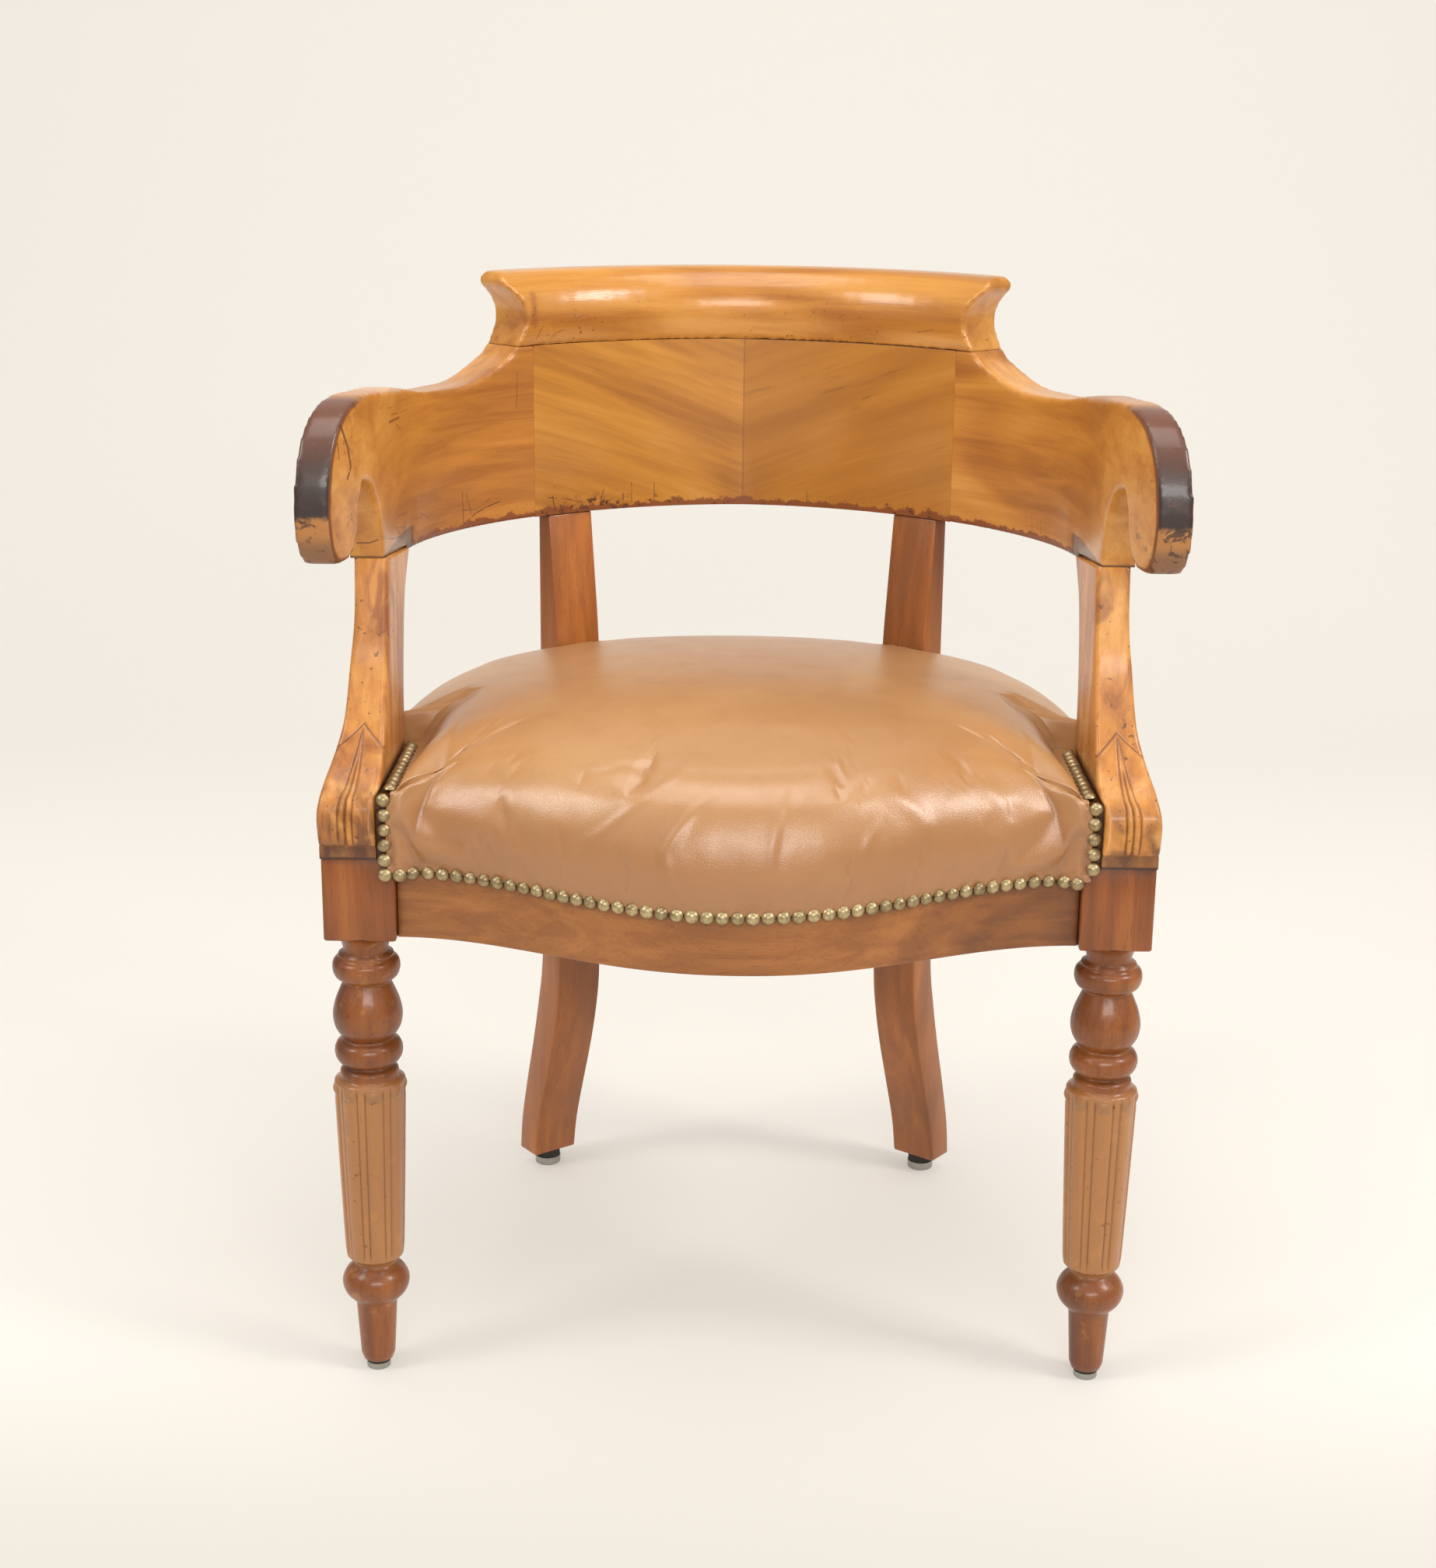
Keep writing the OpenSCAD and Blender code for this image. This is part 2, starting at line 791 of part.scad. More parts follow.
// One of the two matched leaves of veneer, which meet at the centre of the back.
module veneer(side) {
  color("#d2973a") placed(side)
    upright(yoke_low, crest_low)
      difference() {
        back_half_plan(0);
        yoke_plan(veneer_t);
      }
}

// Dowels between the back and the crest.
module crest_pegs(grow = 0) {
  for (t = [-30, 0, 30]) {
    middle = yoke_point(abs(t)) + safe_normal(abs(t)) * yoke_depth(abs(t)) / 2;
    translate([sign(t) * middle[0], middle[1], crest_low])
      cylinder(h = dowel_l + 2 * grow, d = dowel_d + 2 * grow, center = true);
  }
}

module crest_dowels() {
  color("#d8b88a") placed()
    crest_pegs();
}

// Section of the crest as [depth, height], with a swelled face and a rolled top.
function crest_section(depth) = concat(
  smooth([
    [0, crest_low], [-2.4, crest_low + 12], [-3, crest_low + 24], [-0.5, crest_low + 37],
    [5.5, crest_low + 47.5], [14, crest_top - 1.6], [22, crest_top]
  ], 3),
  [[depth - 7, crest_top], [depth - 2, crest_top - 2], [depth, crest_top - 7], [depth, crest_low]]
);

crest_stations = 15;
crest_reach = waist_t + 7;

// Crest swept along the back; its ends are then cut to the cove and ear.
module crest_body() {
  rows = [
    for (i = [-crest_stations : crest_stations])
      let(
        t = abs(crest_reach * i / crest_stations),
        s = i < 0 ? -1 : 1,
        p = yoke_point(t),
        n = safe_normal(t)
      ) [for (q = crest_section(yoke_depth(t))) [s * (p[0] + n[0] * q[0]), p[1] + n[1] * q[0], q[1]]]
  ];
  count = len(rows[0]);
  last = len(rows) - 1;
  polyhedron(
    points = [for (row = rows, p = row) p],
    faces = concat(
      [[for (k = [count - 1 : -1 : 0]) k]],
      [[for (k = [0 : count - 1]) last * count + k]],
      [
        for (i = [0 : last - 1], k = [0 : count - 1])
          let(a = i * count + k, b = i * count + (k + 1) % count)
            each [[a, b, a + count], [b, b + count, a + count]]
      ]
    )
  );
}

module crest_rail() {
  color("#c98a35") placed()
    difference() {
      intersection() {
        crest_body();
        intersection_for(s = [0, 1])
          mirror([s, 0, 0])
            at_waist()
              polygon(concat([[-2 * far, crest_top + 1], [-2 * far, crest_low]], cove, ear));
      }
      crest_pegs(fit_gap);
    }
}

// Webbing nailed under the rails: straps from front to back, and others across them.
web_edge = 6;
web_gap = 0.1;
web_pitch = web_w + 6;

module web_outline() {
  xs = [for (i = [-steps : steps]) (block_in - 4) * i / steps];
  ts = [for (i = [-steps : steps]) 92 * i / steps];
  polygon(concat(
    [for (x = xs) [x, rail_front_y(x) + web_edge]],
    reversed([for (t = ts) frame_point(t, rail_t / 2 - web_edge)])
  ));
}

module strap(low, z) {
  intersection() {
    upright(z, z + web_t)
      web_outline();
    translate([low[0], low[1], z - 1])
      cube([low[2], low[3], web_t + 2]);
  }
}

module webbing() {
  upper = rail_low - web_t - web_gap;
  lower = upper - web_t - web_gap;
  color("#b59a6a") placed() {
    for (i = [-1.5 : 1 : 1.5])
      strap([i * web_pitch - web_w / 2, -far, web_w, 2 * far], upper);
    for (i = [0 : 3])
      strap([-far, 45 + i * web_pitch, 2 * far, web_w], lower);
  }
}

// A spring: a wire that winds up in turns, narrow at its waist.
spring_turns = 5;
spring_low = rail_low;
spring_top = crown_z - 62;
spring_r = 36;
spring_waist = 12;
ring_steps = 8;

function spring_centre(u) =
  let(a = 360 * spring_turns * u, r = spring_r - spring_waist * sin(180 * u))
    [r * cos(a), r * sin(a), lerp(spring_low + wire_d / 2 + 0.1, spring_top - wire_d / 2 - 0.1, u)];

module spring() {
  n = ring_steps * spring_turns;
  sides = 6;
  rings = [
    for (i = [0 : n])
      let(
        u = i / n,
        a = 360 * spring_turns * u,
        c = spring_centre(u)
      ) [
        for (k = [0 : sides - 1])
          let(q = 360 * k / sides)
            c + wire_d / 2 * [cos(q) * cos(a), cos(q) * sin(a), sin(q)]
      ]
  ];
  polyhedron(
    points = [for (ring = rings, p = ring) p],
    faces = concat(
      [[for (k = [sides - 1 : -1 : 0]) k]],
      [[for (k = [0 : sides - 1]) n * sides + k]],
      [
        for (i = [0 : n - 1], k = [0 : sides - 1])
          let(a = i * sides + k, b = i * sides + (k + 1) % sides)
            each [[a, b, a + sides], [b, b + sides, a + sides]]
      ]
    )
  );
}

spring_mid = [0, 150];
spring_out = [105, 95];
module seat_springs() {
  color("#6f6f70") placed() {
    translate(concat(spring_mid, 0))
      spring();
    for (i = [0 : spring_ring - 1])
      let(a = 360 * (i + 0.5) / spring_ring)
        translate([spring_out[0] * cos(a), spring_mid[1] + spring_out[1] * sin(a), 0])
          spring();
  }
}

// Oval pocket in the stuffing that holds the springs, and the cloth that covers them.
pocket = [165, 140];
cloth_t = 1.2;

module oval(rx, ry) {
  polygon([
    for (i = [0 : 47])
      [spring_mid[0] + rx * cos(7.5 * i), spring_mid[1] + ry * sin(7.5 * i)]
  ]);
}

module spring_cloth() {
  color("#a08a63") placed()
    upright(spring_top + 0.1, spring_top + 0.1 + cloth_t)
      oval(pocket[0] - 2, pocket[1] - 2);
}

// Hem of the leather for the right half, from the front centre round to the back, as
// [x, y, height, kind]. Kind 0 bulges over a rail, 1 is tucked down on the tongue
// beside an arm support, and 2 stands against a rear leg.
free = 0;
tucked = 1;
upstand = 2;
face_y = -block_w / 2 - cover_face;
column_x = base_in - nail_d / 2 - 0.4;
side_nail_x = support_in - nail_d / 2 - 0.4;
outer_edge = rail_t / 2 + cover_face;
flap_z = tongue_top + cover_face;
chord_gap = 0.4;
front_pitch = 24;
front_stations = floor((block_in - 40) / front_pitch);
step_x = block_in - 17.25;
corner_x = block_in - 3.5;

function front_hem_z(x) =
  hem_z - hem_drop * (0.5 + 0.5 * cos(180 * min(abs(x) / block_in, 1)));
function front_hem(x) = [x, rail_front_y(x) - cover_face, front_hem_z(x), free];
function rear_hem(t) = concat(frame_point(t, outer_edge + chord_gap), hem_z, free);
function leg_hem(across) =
  let(c = cos(rear_turn), s = sin(rear_turn), y = -post_face - cover_face)
    [rear_x - across * c + y * s, rear_y + across * s + y * c, rail_top + 1, upstand];

function leg_side_hem(t) = concat(frame_point(t, outer_edge + chord_gap), rail_top + 1, upstand);

// Angles where the hem leaves the rails on either side of a rear leg.
post_t = asin(rear_x / frame_a);
post_degree = 180 / PI / norm([(frame_a + outer_edge) * cos(post_t), (frame_b + outer_edge) * sin(post_t)]);
side_t = post_t + (rear_w / 2 + 8) * post_degree;
back_t_end = post_t - (rear_w / 2 + 5) * post_degree;

hem_right = concat(
  [for (i = [0 : front_stations]) front_hem(front_pitch * i)],
  [front_hem((front_pitch * front_stations + step_x) / 2), front_hem(step_x)],
  [[corner_x, face_y, hem_z, upstand], [column_x - nail_edge, face_y, hem_z, upstand]],
  [for (y = [face_y + 0.4, 0, 49, 98]) [side_nail_x - nail_edge, y, flap_z, tucked]],
  [[base_in - 4, base_rear + 2.5, flap_z, tucked]],
  [leg_side_hem(79.6)],
  [for (i = [0 : 6]) rear_hem(lerp(79, side_t, i / 6))],
  [leg_side_hem(side_t - 0.2)],
  [leg_hem(-rear_w / 2), leg_hem(rear_w / 2)],
  [leg_side_hem(back_t_end + 0.2)],
  [for (i = [0 : 4]) rear_hem(lerp(back_t_end, 0, i / 4))]
);
hem = concat(
  hem_right,
  [for (i = [len(hem_right) - 2 : -1 : 1]) let(h = hem_right[i]) [-h[0], h[1], h[2], h[3]]]
);

// Crown of the seat: its height above point p, from its half sizes to the side, the
// front and the rear. The skin's rings are drawn round a place behind it, rings_y.
crown_y = 152;
crown_side = frame_a + 28.5;
crown_front = crown_y - rail_y + rail_bow + 7.75;
crown_rear = frame_y + frame_b - crown_y + 5;
rings_y = 178;
crown_low = rail_top - 19;
crown_power = 2.1;
crown_round = 0.224;
function dome_z(p) =
  let(
    x = abs(p[0]) / crown_side,
    y = abs(p[1] - crown_y) / (p[1] < crown_y ? crown_front : crown_rear),
    reach = min(pow(pow(x, crown_power) + pow(y, crown_power), 1 / crown_power), 0.99)
  ) lerp(crown_low, crown_z, pow(1 - reach * reach, crown_round));

// Rings from the crown to the hem: [share of the way out, share of the height between
// the hem and the shoulder, share of the leather's thickness that lies outwards]. The
// rings up to the shoulder lie on the crown, and the last two are upright at the hem.
shoulder = 3;
crown_rings = [[0.3, 1, 0.05], [0.55, 1, 0.15], [0.74, 1, 0.3]];
rings_of = [
  concat(crown_rings, [
    [0.87, 1, 0.5], [0.945, 0.85, 0.7], [0.99, 0.6, 0.9], [1.012, 0.32, 1], [1, 0.075, 1], [1, 0, 1]
  ]),
  concat(crown_rings, [
    [0.87, 1, 0.4], [0.925, 0.8, 0.6], [0.955, 0.45, 0.9], [0.968, 0.05, 0.6], [0.979, 0, 0], [1, 0, 0]
  ]),
  concat(crown_rings, [
    [0.87, 1, 0.5], [0.945, 0.95, 0.6], [0.985, 0.89, 0.8], [0.999, 0.68, 1], [1, 0.3, 1], [1, 0, 1]
  ])
];
ring_count = 9;

// Point of the leather at hem place h and ring r, drawn in by depth from its face.
function cover_point(h, r, depth) =
  let(
    ring = rings_of[h[3]][r],
    v = [h[0], h[1] - rings_y],
    u = v / norm(v),
    w = ring[2],
    p = [v[0], rings_y + v[1] * ring[0]],
    at_shoulder = [v[0], v[1]] * rings_of[h[3]][shoulder][0] + [0, rings_y],
    z = r <= shoulder
      ? dome_z([v[0] * ring[0], p[1]])
      : lerp(h[2], dome_z(at_shoulder), ring[1])
  ) [
    v[0] * ring[0] - u[0] * depth * w,
    p[1] - u[1] * depth * w,
    z - depth * sqrt(1 - w * w)
  ];

// Faces between the rings of a skin whose first point is its crown.
function skin_faces(first, count, flip) = concat(
  [
    for (k = [0 : count - 1])
      let(a = first + 1 + k, b = first + 1 + (k + 1) % count)
        flip ? [first, a, b] : [first, b, a]
  ],
  [
    for (r = [0 : ring_count - 2], k = [0 : count - 1])
      let(
        a = first + 1 + r * count + k,
        b = first + 1 + r * count + (k + 1) % count
      )
        each flip
          ? [[a, a + count, b], [b, a + count, b + count]]
          : [[a, b, a + count], [b, b + count, a + count]]
  ]
);

function skin_points(depth) = concat(
  [[0, rings_y, dome_z([0, rings_y]) - depth]],
  [for (r = [0 : ring_count - 1], h = hem) cover_point(h, r, depth)]
);

module leather_cover() {
  count = len(hem);
  skin = 1 + ring_count * count;
  edge = 1 + (ring_count - 1) * count;
  color("#b8763f") placed()
    polyhedron(
      points = concat(skin_points(0), skin_points(leather_t)),
      faces = concat(
        skin_faces(0, count, false),
        skin_faces(skin, count, true),
        [
          for (k = [0 : count - 1])
            let(a = edge + k, b = edge + (k + 1) % count)
              each [[a, b, a + skin], [b, b + skin, a + skin]]
        ]
      )
    );
}

// Stuffing under the leather: the same crown on a foot that stands on the rails, with
// the springs' pocket in its underside. Beside the tongues it is drawn in.
pocket_top = spring_top + cloth_t + 0.3;
stuffing_z = rail_top + 0.5;
function drawn_in(p) =
  p[1] < base_rear + 4 ? [sign(p[0]) * min(abs(p[0]), tongue_in - 2.5), p[1], p[2]] : p;
function stuffing_foot(h) =
  let(v = [h[0], h[1] - rings_y], share = h[3] == tucked ? 0.94 : 0.965)
    [v[0] * share, rings_y + v[1] * share, stuffing_z];
function pocket_point(h, z) =
  let(a = atan2(h[1] - rings_y, h[0]))
    [spring_mid[0] + pocket[0] * cos(a), spring_mid[1] + pocket[1] * sin(a), z];

module seat_stuffing() {
  count = len(hem);
  under = leather_t + 2 * soft_gap;
  rows = ring_count - 3;
  points = concat(
    [[0, rings_y, dome_z([0, rings_y]) - under]],
    [for (r = [0 : rows - 1], h = hem) drawn_in(cover_point(h, r, under))],
    [for (h = hem) drawn_in(stuffing_foot(h))],
    [for (h = hem) pocket_point(h, stuffing_z)],
    [for (h = hem) pocket_point(h, pocket_top)],
    [[spring_mid[0], spring_mid[1], pocket_top]]
  );
  last = len(points) - 1;
  color("#8c7a5c") placed()
    polyhedron(
      points = points,
      faces = concat(
        [for (k = [0 : count - 1]) [0, 1 + (k + 1) % count, 1 + k]],
        [
          for (r = [0 : rows + 1], k = [0 : count - 1])
            let(a = 1 + r * count + k, b = 1 + r * count + (k + 1) % count)
              each [[a, b, a + count], [b, b + count, a + count]]
        ],
        [for (k = [0 : count - 1]) [last, last - count + k, last - count + (k + 1) % count]]
      )
    );
}

// Domed nail with its short shank, pointing along +Z from the leather's face.
module nail() {
  shank = cover_face + nail_lift - 0.3;
  rotate_extrude($fn = 24)
    polygon(concat(
      [[0, -shank], [nail_shank_d / 2, -shank], [nail_shank_d / 2, 0]],
      [for (i = [0 : 4]) [nail_d / 2 * cos(22.5 * i), nail_h * sin(22.5 * i)]]
    ));
}

// Nail on an upright face, at [x, y, z], whose outward direction in plan is turn.
module face_nail(p, turn) {
  translate(p)
    rotate([0, 0, turn])
      rotate([0, 90, 0])
        nail();
}

// Places along the front rail a nail pitch apart, from the centre to a leg block.
function arc_to(x, n = 40) =
  let(xs = [for (i = [0 : n]) x * i / n])
    sum([for (i = [0 : n - 1]) norm([xs[1], rail_front_y(xs[i + 1]) - rail_front_y(xs[i])])]);
function sum(v, i = 0) = i < len(v) ? v[i] + sum(v, i + 1) : 0;
function x_at_arc(s, low = 0, high = 300, n = 20) =
  n == 0 ? (low + high) / 2
  : arc_to((low + high) / 2) < s ? x_at_arc(s, (low + high) / 2, high, n - 1)
  : x_at_arc(s, low, (low + high) / 2, n - 1);

// The front row runs along the rail and then steps out over the leg block: its last
// nail is at the corner, and the one before stands half way out.
corner_nail = column_x - nail_pitch;
step_nail = corner_nail - 8.8;
last_nail = step_nail - nail_d - 0.1;
front_nails = round(arc_to(last_nail) / nail_pitch);
front_step = [corner_x - step_x, face_y - front_hem(step_x)[1]];

module nails_front() {
  color("#a88f55") placed() {
    for (i = [-front_nails : front_nails]) {
      x = sign(i) * x_at_arc(abs(i) * arc_to(last_nail) / front_nails);
      face_nail(
        [x, rail_front_y(x) - cover_face - nail_lift, front_hem_z(x) - nail_edge],
        rail_slope(x) - 90
      );
    }
    both_sides() {
      face_nail([corner_nail, face_y - nail_lift, hem_z - nail_edge], -90);
      face_nail(
        [
          step_nail,
          face_y + front_step[1] * (step_nail - corner_x) / front_step[0] - nail_lift - 0.2,
          hem_z - nail_edge
        ],
        atan2(front_step[1], front_step[0]) - 90
      );
    }
  }
}

// Angles of the nails along the side and back rails, from angle t up to last.
function nail_angles(t, last) =
  t > last ? []
  : concat([t], nail_angles(
      t + nail_pitch * 180 / PI / norm([(frame_a + outer_edge) * cos(t), (frame_b + outer_edge) * sin(t)]),
      last
    ));

module rail_nail(t) {
  g = outer_edge + nail_lift;
  face_nail(
    concat(frame_point(t, g), hem_z - nail_edge),
    atan2((frame_a + g) * cos(t), (frame_b + g) * sin(t))
  );
}

// Nails up the corner of the leather, back along the tongue, and round the side rail.
column_pitch = nail_pitch + 0.5;
column_nails = floor((tongue_top - hem_z) / column_pitch);
tongue_pitch = nail_d + 0.1;
tongue_nails = floor((base_rear - tongue_front - 2 - nail_d) / tongue_pitch);

module nails_side(side) {
  color("#a88f55") placed(side) {
    for (i = [0 : column_nails])
      face_nail([column_x, face_y - nail_lift, hem_z - nail_edge + i * column_pitch], -90);
    for (i = [0 : tongue_nails])
      translate([side_nail_x, tongue_front + 2 + nail_d / 2 + i * tongue_pitch, flap_z + nail_lift])
        nail();
    for (t = nail_angles(side_t + 1.6, 78))
      rail_nail(t);
  }
}

module nails_back() {
  ts = nail_angles(0, back_t_end - 1.6);
  color("#a88f55") placed() {
    for (t = ts)
      rail_nail(t);
    for (i = [1 : len(ts) - 1])
      rail_nail(-ts[i]);
  }
}

// Glide: a flat-bottomed disc with a rounded edge and a pin up into the leg.
module glide(d, h) {
  rotate_extrude()
    polygon(concat(
      [[0, 0], [d / 2 - 1.4, 0]],
      [for (i = [1 : 4]) [d / 2 - 1.4 + 1.4 * sin(22.5 * i), 1.4 - 1.4 * cos(22.5 * i)]],
      [[d / 2, h], [0, h]]
    ));
  cylinder(h = h + washer_t + pin_l, d = pin_d);
}

module front_glides() {
  color("#c9c6bd") placed()
    for (s = [-1, 1])
      translate([s * leg_x, 0, 0])
        glide(front_glide_d, front_glide_h - washer_t);
}

module rear_glides() {
  color("#c9c6bd") placed()
    for (s = [0, 1])
      mirror([s, 0, 0])
        at_rear_leg()
          translate([0, foot_s, 0])
            glide(rear_glide_d, rear_glide_h / 2);
}

module ring(d, h) {
  difference() {
    cylinder(h = h, d = d);
    translate([0, 0, -1])
      cylinder(h = h + 2, d = pin_d + 2 * fit_gap);
  }
}

module glide_washers() {
  color("#2b2724") placed()
    for (s = [0, 1])
      mirror([s, 0, 0]) {
        translate([leg_x, 0, front_glide_h - washer_t])
          ring(front_glide_d - 0.6, washer_t);
        at_rear_leg()
          translate([0, foot_s, rear_glide_h / 2])
            ring(rear_glide_d - 1, rear_glide_h / 2);
      }
}

front_leg(-1);  // front_leg_left
front_leg(1);  // front_leg_right
rear_leg(-1);  // rear_leg_left
rear_leg(1);  // rear_leg_right
seat_rail_front();
seat_rail_side(-1);  // seat_rail_left
seat_rail_side(1);  // seat_rail_right
seat_rail_back();
corner_blocks();
corner_block_screws();
arm_support(-1);  // arm_support_left
arm_support(1);  // arm_support_right
arm(-1);  // arm_left
arm(1);  // arm_right
back_rail();
veneer(-1);  // veneer_left
veneer(1);  // veneer_right
crest_rail();
crest_dowels();
arm_dowels();
support_dowels();
webbing();
seat_springs();
spring_cloth();
seat_stuffing();
leather_cover();
nails_front();
nails_side(-1);  // nails_left
nails_side(1);  // nails_right
nails_back();
front_glides();
rear_glides();
glide_washers();
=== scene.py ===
# %% [markdown]
# # A gondola desk chair
# This notebook dresses a solid model of an old desk armchair: a low yoke back whose arms
# roll over into scrolls, two turned and reeded front legs, two sabre rear legs and a
# bow-fronted leather seat with brass nails. The solids come first and stay where they
# are. Each cell then adds a finish, or a finer piece that stands in for a solid.

# %% Load the solid model
import math
import random
import bmesh
import bpy
import numpy as np
from mathutils import Matrix, Vector, noise
from mathutils.bvhtree import BVHTree


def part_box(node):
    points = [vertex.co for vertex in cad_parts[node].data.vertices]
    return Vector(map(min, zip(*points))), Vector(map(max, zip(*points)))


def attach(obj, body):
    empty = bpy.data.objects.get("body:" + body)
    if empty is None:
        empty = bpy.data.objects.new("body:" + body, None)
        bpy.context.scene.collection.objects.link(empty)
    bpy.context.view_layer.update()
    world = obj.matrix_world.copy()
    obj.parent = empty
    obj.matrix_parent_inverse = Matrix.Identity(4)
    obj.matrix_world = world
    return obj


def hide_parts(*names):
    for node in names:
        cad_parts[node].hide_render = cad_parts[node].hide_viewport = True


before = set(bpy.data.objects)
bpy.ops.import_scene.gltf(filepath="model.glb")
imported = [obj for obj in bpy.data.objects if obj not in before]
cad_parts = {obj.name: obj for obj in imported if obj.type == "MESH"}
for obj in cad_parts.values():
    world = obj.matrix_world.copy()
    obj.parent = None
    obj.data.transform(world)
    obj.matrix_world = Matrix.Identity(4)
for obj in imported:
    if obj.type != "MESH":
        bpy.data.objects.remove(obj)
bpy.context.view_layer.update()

# %% [markdown]
# The chair was measured from the line through the axes of its two front legs. The turned
# legs are round, so the middle of a leg's box is its axis, and every later size can be
# written from there.

# %% Find the front leg axes
leg_low, leg_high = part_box("front_leg_right")
leg_x = (leg_low.x + leg_high.x) / 2
leg_y = (leg_low.y + leg_high.y) / 2
print("front leg axis at", round(leg_x, 4), round(leg_y, 4))

# %% [markdown]
# The picture was taken from the front, about nine tenths of a metre above the floor, looking
# down by sixteen degrees and rolled by a little over half a degree. The lens is set from the
# angle of view: the long side of the frame is the sensor's 36 mm.

# %% Place the camera
def placed(name, data):
    """An object with this data, linked into the scene."""
    made = bpy.data.objects.new(name, data)
    bpy.context.scene.collection.objects.link(made)
    return made


pitch = math.radians(16)
yaw = math.radians(-0.458)
roll = math.radians(0.608)
forward = Vector((math.sin(yaw) * math.cos(pitch), math.cos(yaw) * math.cos(pitch), -math.sin(pitch)))
level = Vector((math.cos(yaw), -math.sin(yaw), 0))
upward = level.cross(forward)
across = level * math.cos(roll) + upward * math.sin(roll)
top = upward * math.cos(roll) - level * math.sin(roll)
stand = Matrix.Translation((-0.0019, leg_y - 1.6, 0.911))
camera = placed("camera", bpy.data.cameras.new("camera"))
camera.matrix_world = stand @ Matrix((across, top, -forward)).transposed().to_4x4()
camera.data.sensor_width = 36
camera.data.lens = 55.307
bpy.context.scene.camera = camera
print("camera at", [round(v, 3) for v in camera.location])

# %% [markdown]
# Scratches and stains have their own places on the real chair. Each is drawn as a line over
# the picture's frame, in pixels, and cast from the camera onto the solids, which gives its
# points in space. A material can then darken what lies near those points, so a mark stays
# where it is from every side.

# %% Find places of the picture on the chair
picture_wide, picture_high = 1846, 2016
picture_scale = picture_high * camera.data.lens / camera.data.sensor_width


def surface_of(mesh):
    """A mesh's faces as a tree that rays can be cast at."""
    faces = [tuple(p.vertices) for p in mesh.polygons]
    return BVHTree.FromPolygons([v.co.copy() for v in mesh.vertices], faces)


def traced(nodes, lines):
    """Lines drawn over the picture, each with its width in mm, laid on some nodes' surfaces."""
    trees = [surface_of(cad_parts[node].data) for node in nodes]
    laid = []
    for path, width in lines:
        points = []
        for u, v in path:
            right_by, up_by = u - picture_wide / 2, picture_high / 2 - v
            sight = forward * picture_scale + across * right_by + top * up_by
            hits = [tree.ray_cast(camera.location, sight) for tree in trees]
            near = min((h for h in hits if h[0] is not None), key=lambda h: h[3], default=None)
            if near is not None:
                points.append(near[0])
        if len(points) > 1:
            laid.append((points, width / 1000))
    return laid


print("pixels per metre at one metre:", round(picture_scale))

# %% [markdown]
# A shader is easier to read as sums than as a web of nodes. This small class wraps one
# output socket: adding or multiplying two of them makes the Math node that does it.
# Colours go through Mix nodes and vectors through Vector Math, because a plain Math node
# would turn them grey.

# %% Shader sums
class Wire:
    """One output of a material's nodes, which can be used in sums."""

    def __init__(self, finish, socket):
        self.finish = finish
        self.socket = socket

    def sum(self, operation, first, second):
        if "VECTOR" in (getattr(self.socket, "type", ""), self.kind(first), self.kind(second)):
            return self.finish.vector(operation, {0: first, 1: second})
        return self.finish.node("ShaderNodeMath", {"operation": operation}, {0: first, 1: second})

    @staticmethod
    def kind(value):
        return value.socket.type if isinstance(value, Wire) else ""

    def __add__(self, other):
        return self.sum("ADD", self, other)

    def __radd__(self, other):
        return self.sum("ADD", other, self)

    def __sub__(self, other):
        return self.sum("SUBTRACT", self, other)

    def __rsub__(self, other):
        return self.sum("SUBTRACT", other, self)

    def __mul__(self, other):
        return self.sum("MULTIPLY", self, other)

    def __rmul__(self, other):
        return self.sum("MULTIPLY", other, self)

    def __abs__(self):
        return self.finish.node("ShaderNodeMath", {"operation": "ABSOLUTE"}, {0: self})

    def ramp(self, low, high):
        """0 below low, 1 above high and a smooth step between; low may be above high."""
        return self.finish.node(
            "ShaderNodeMapRange",
            {"interpolation_type": "SMOOTHSTEP", "clamp": True},
            {"Value": self, "From Min": low, "From Max": high, "To Min": 0.0, "To Max": 1.0},
        )


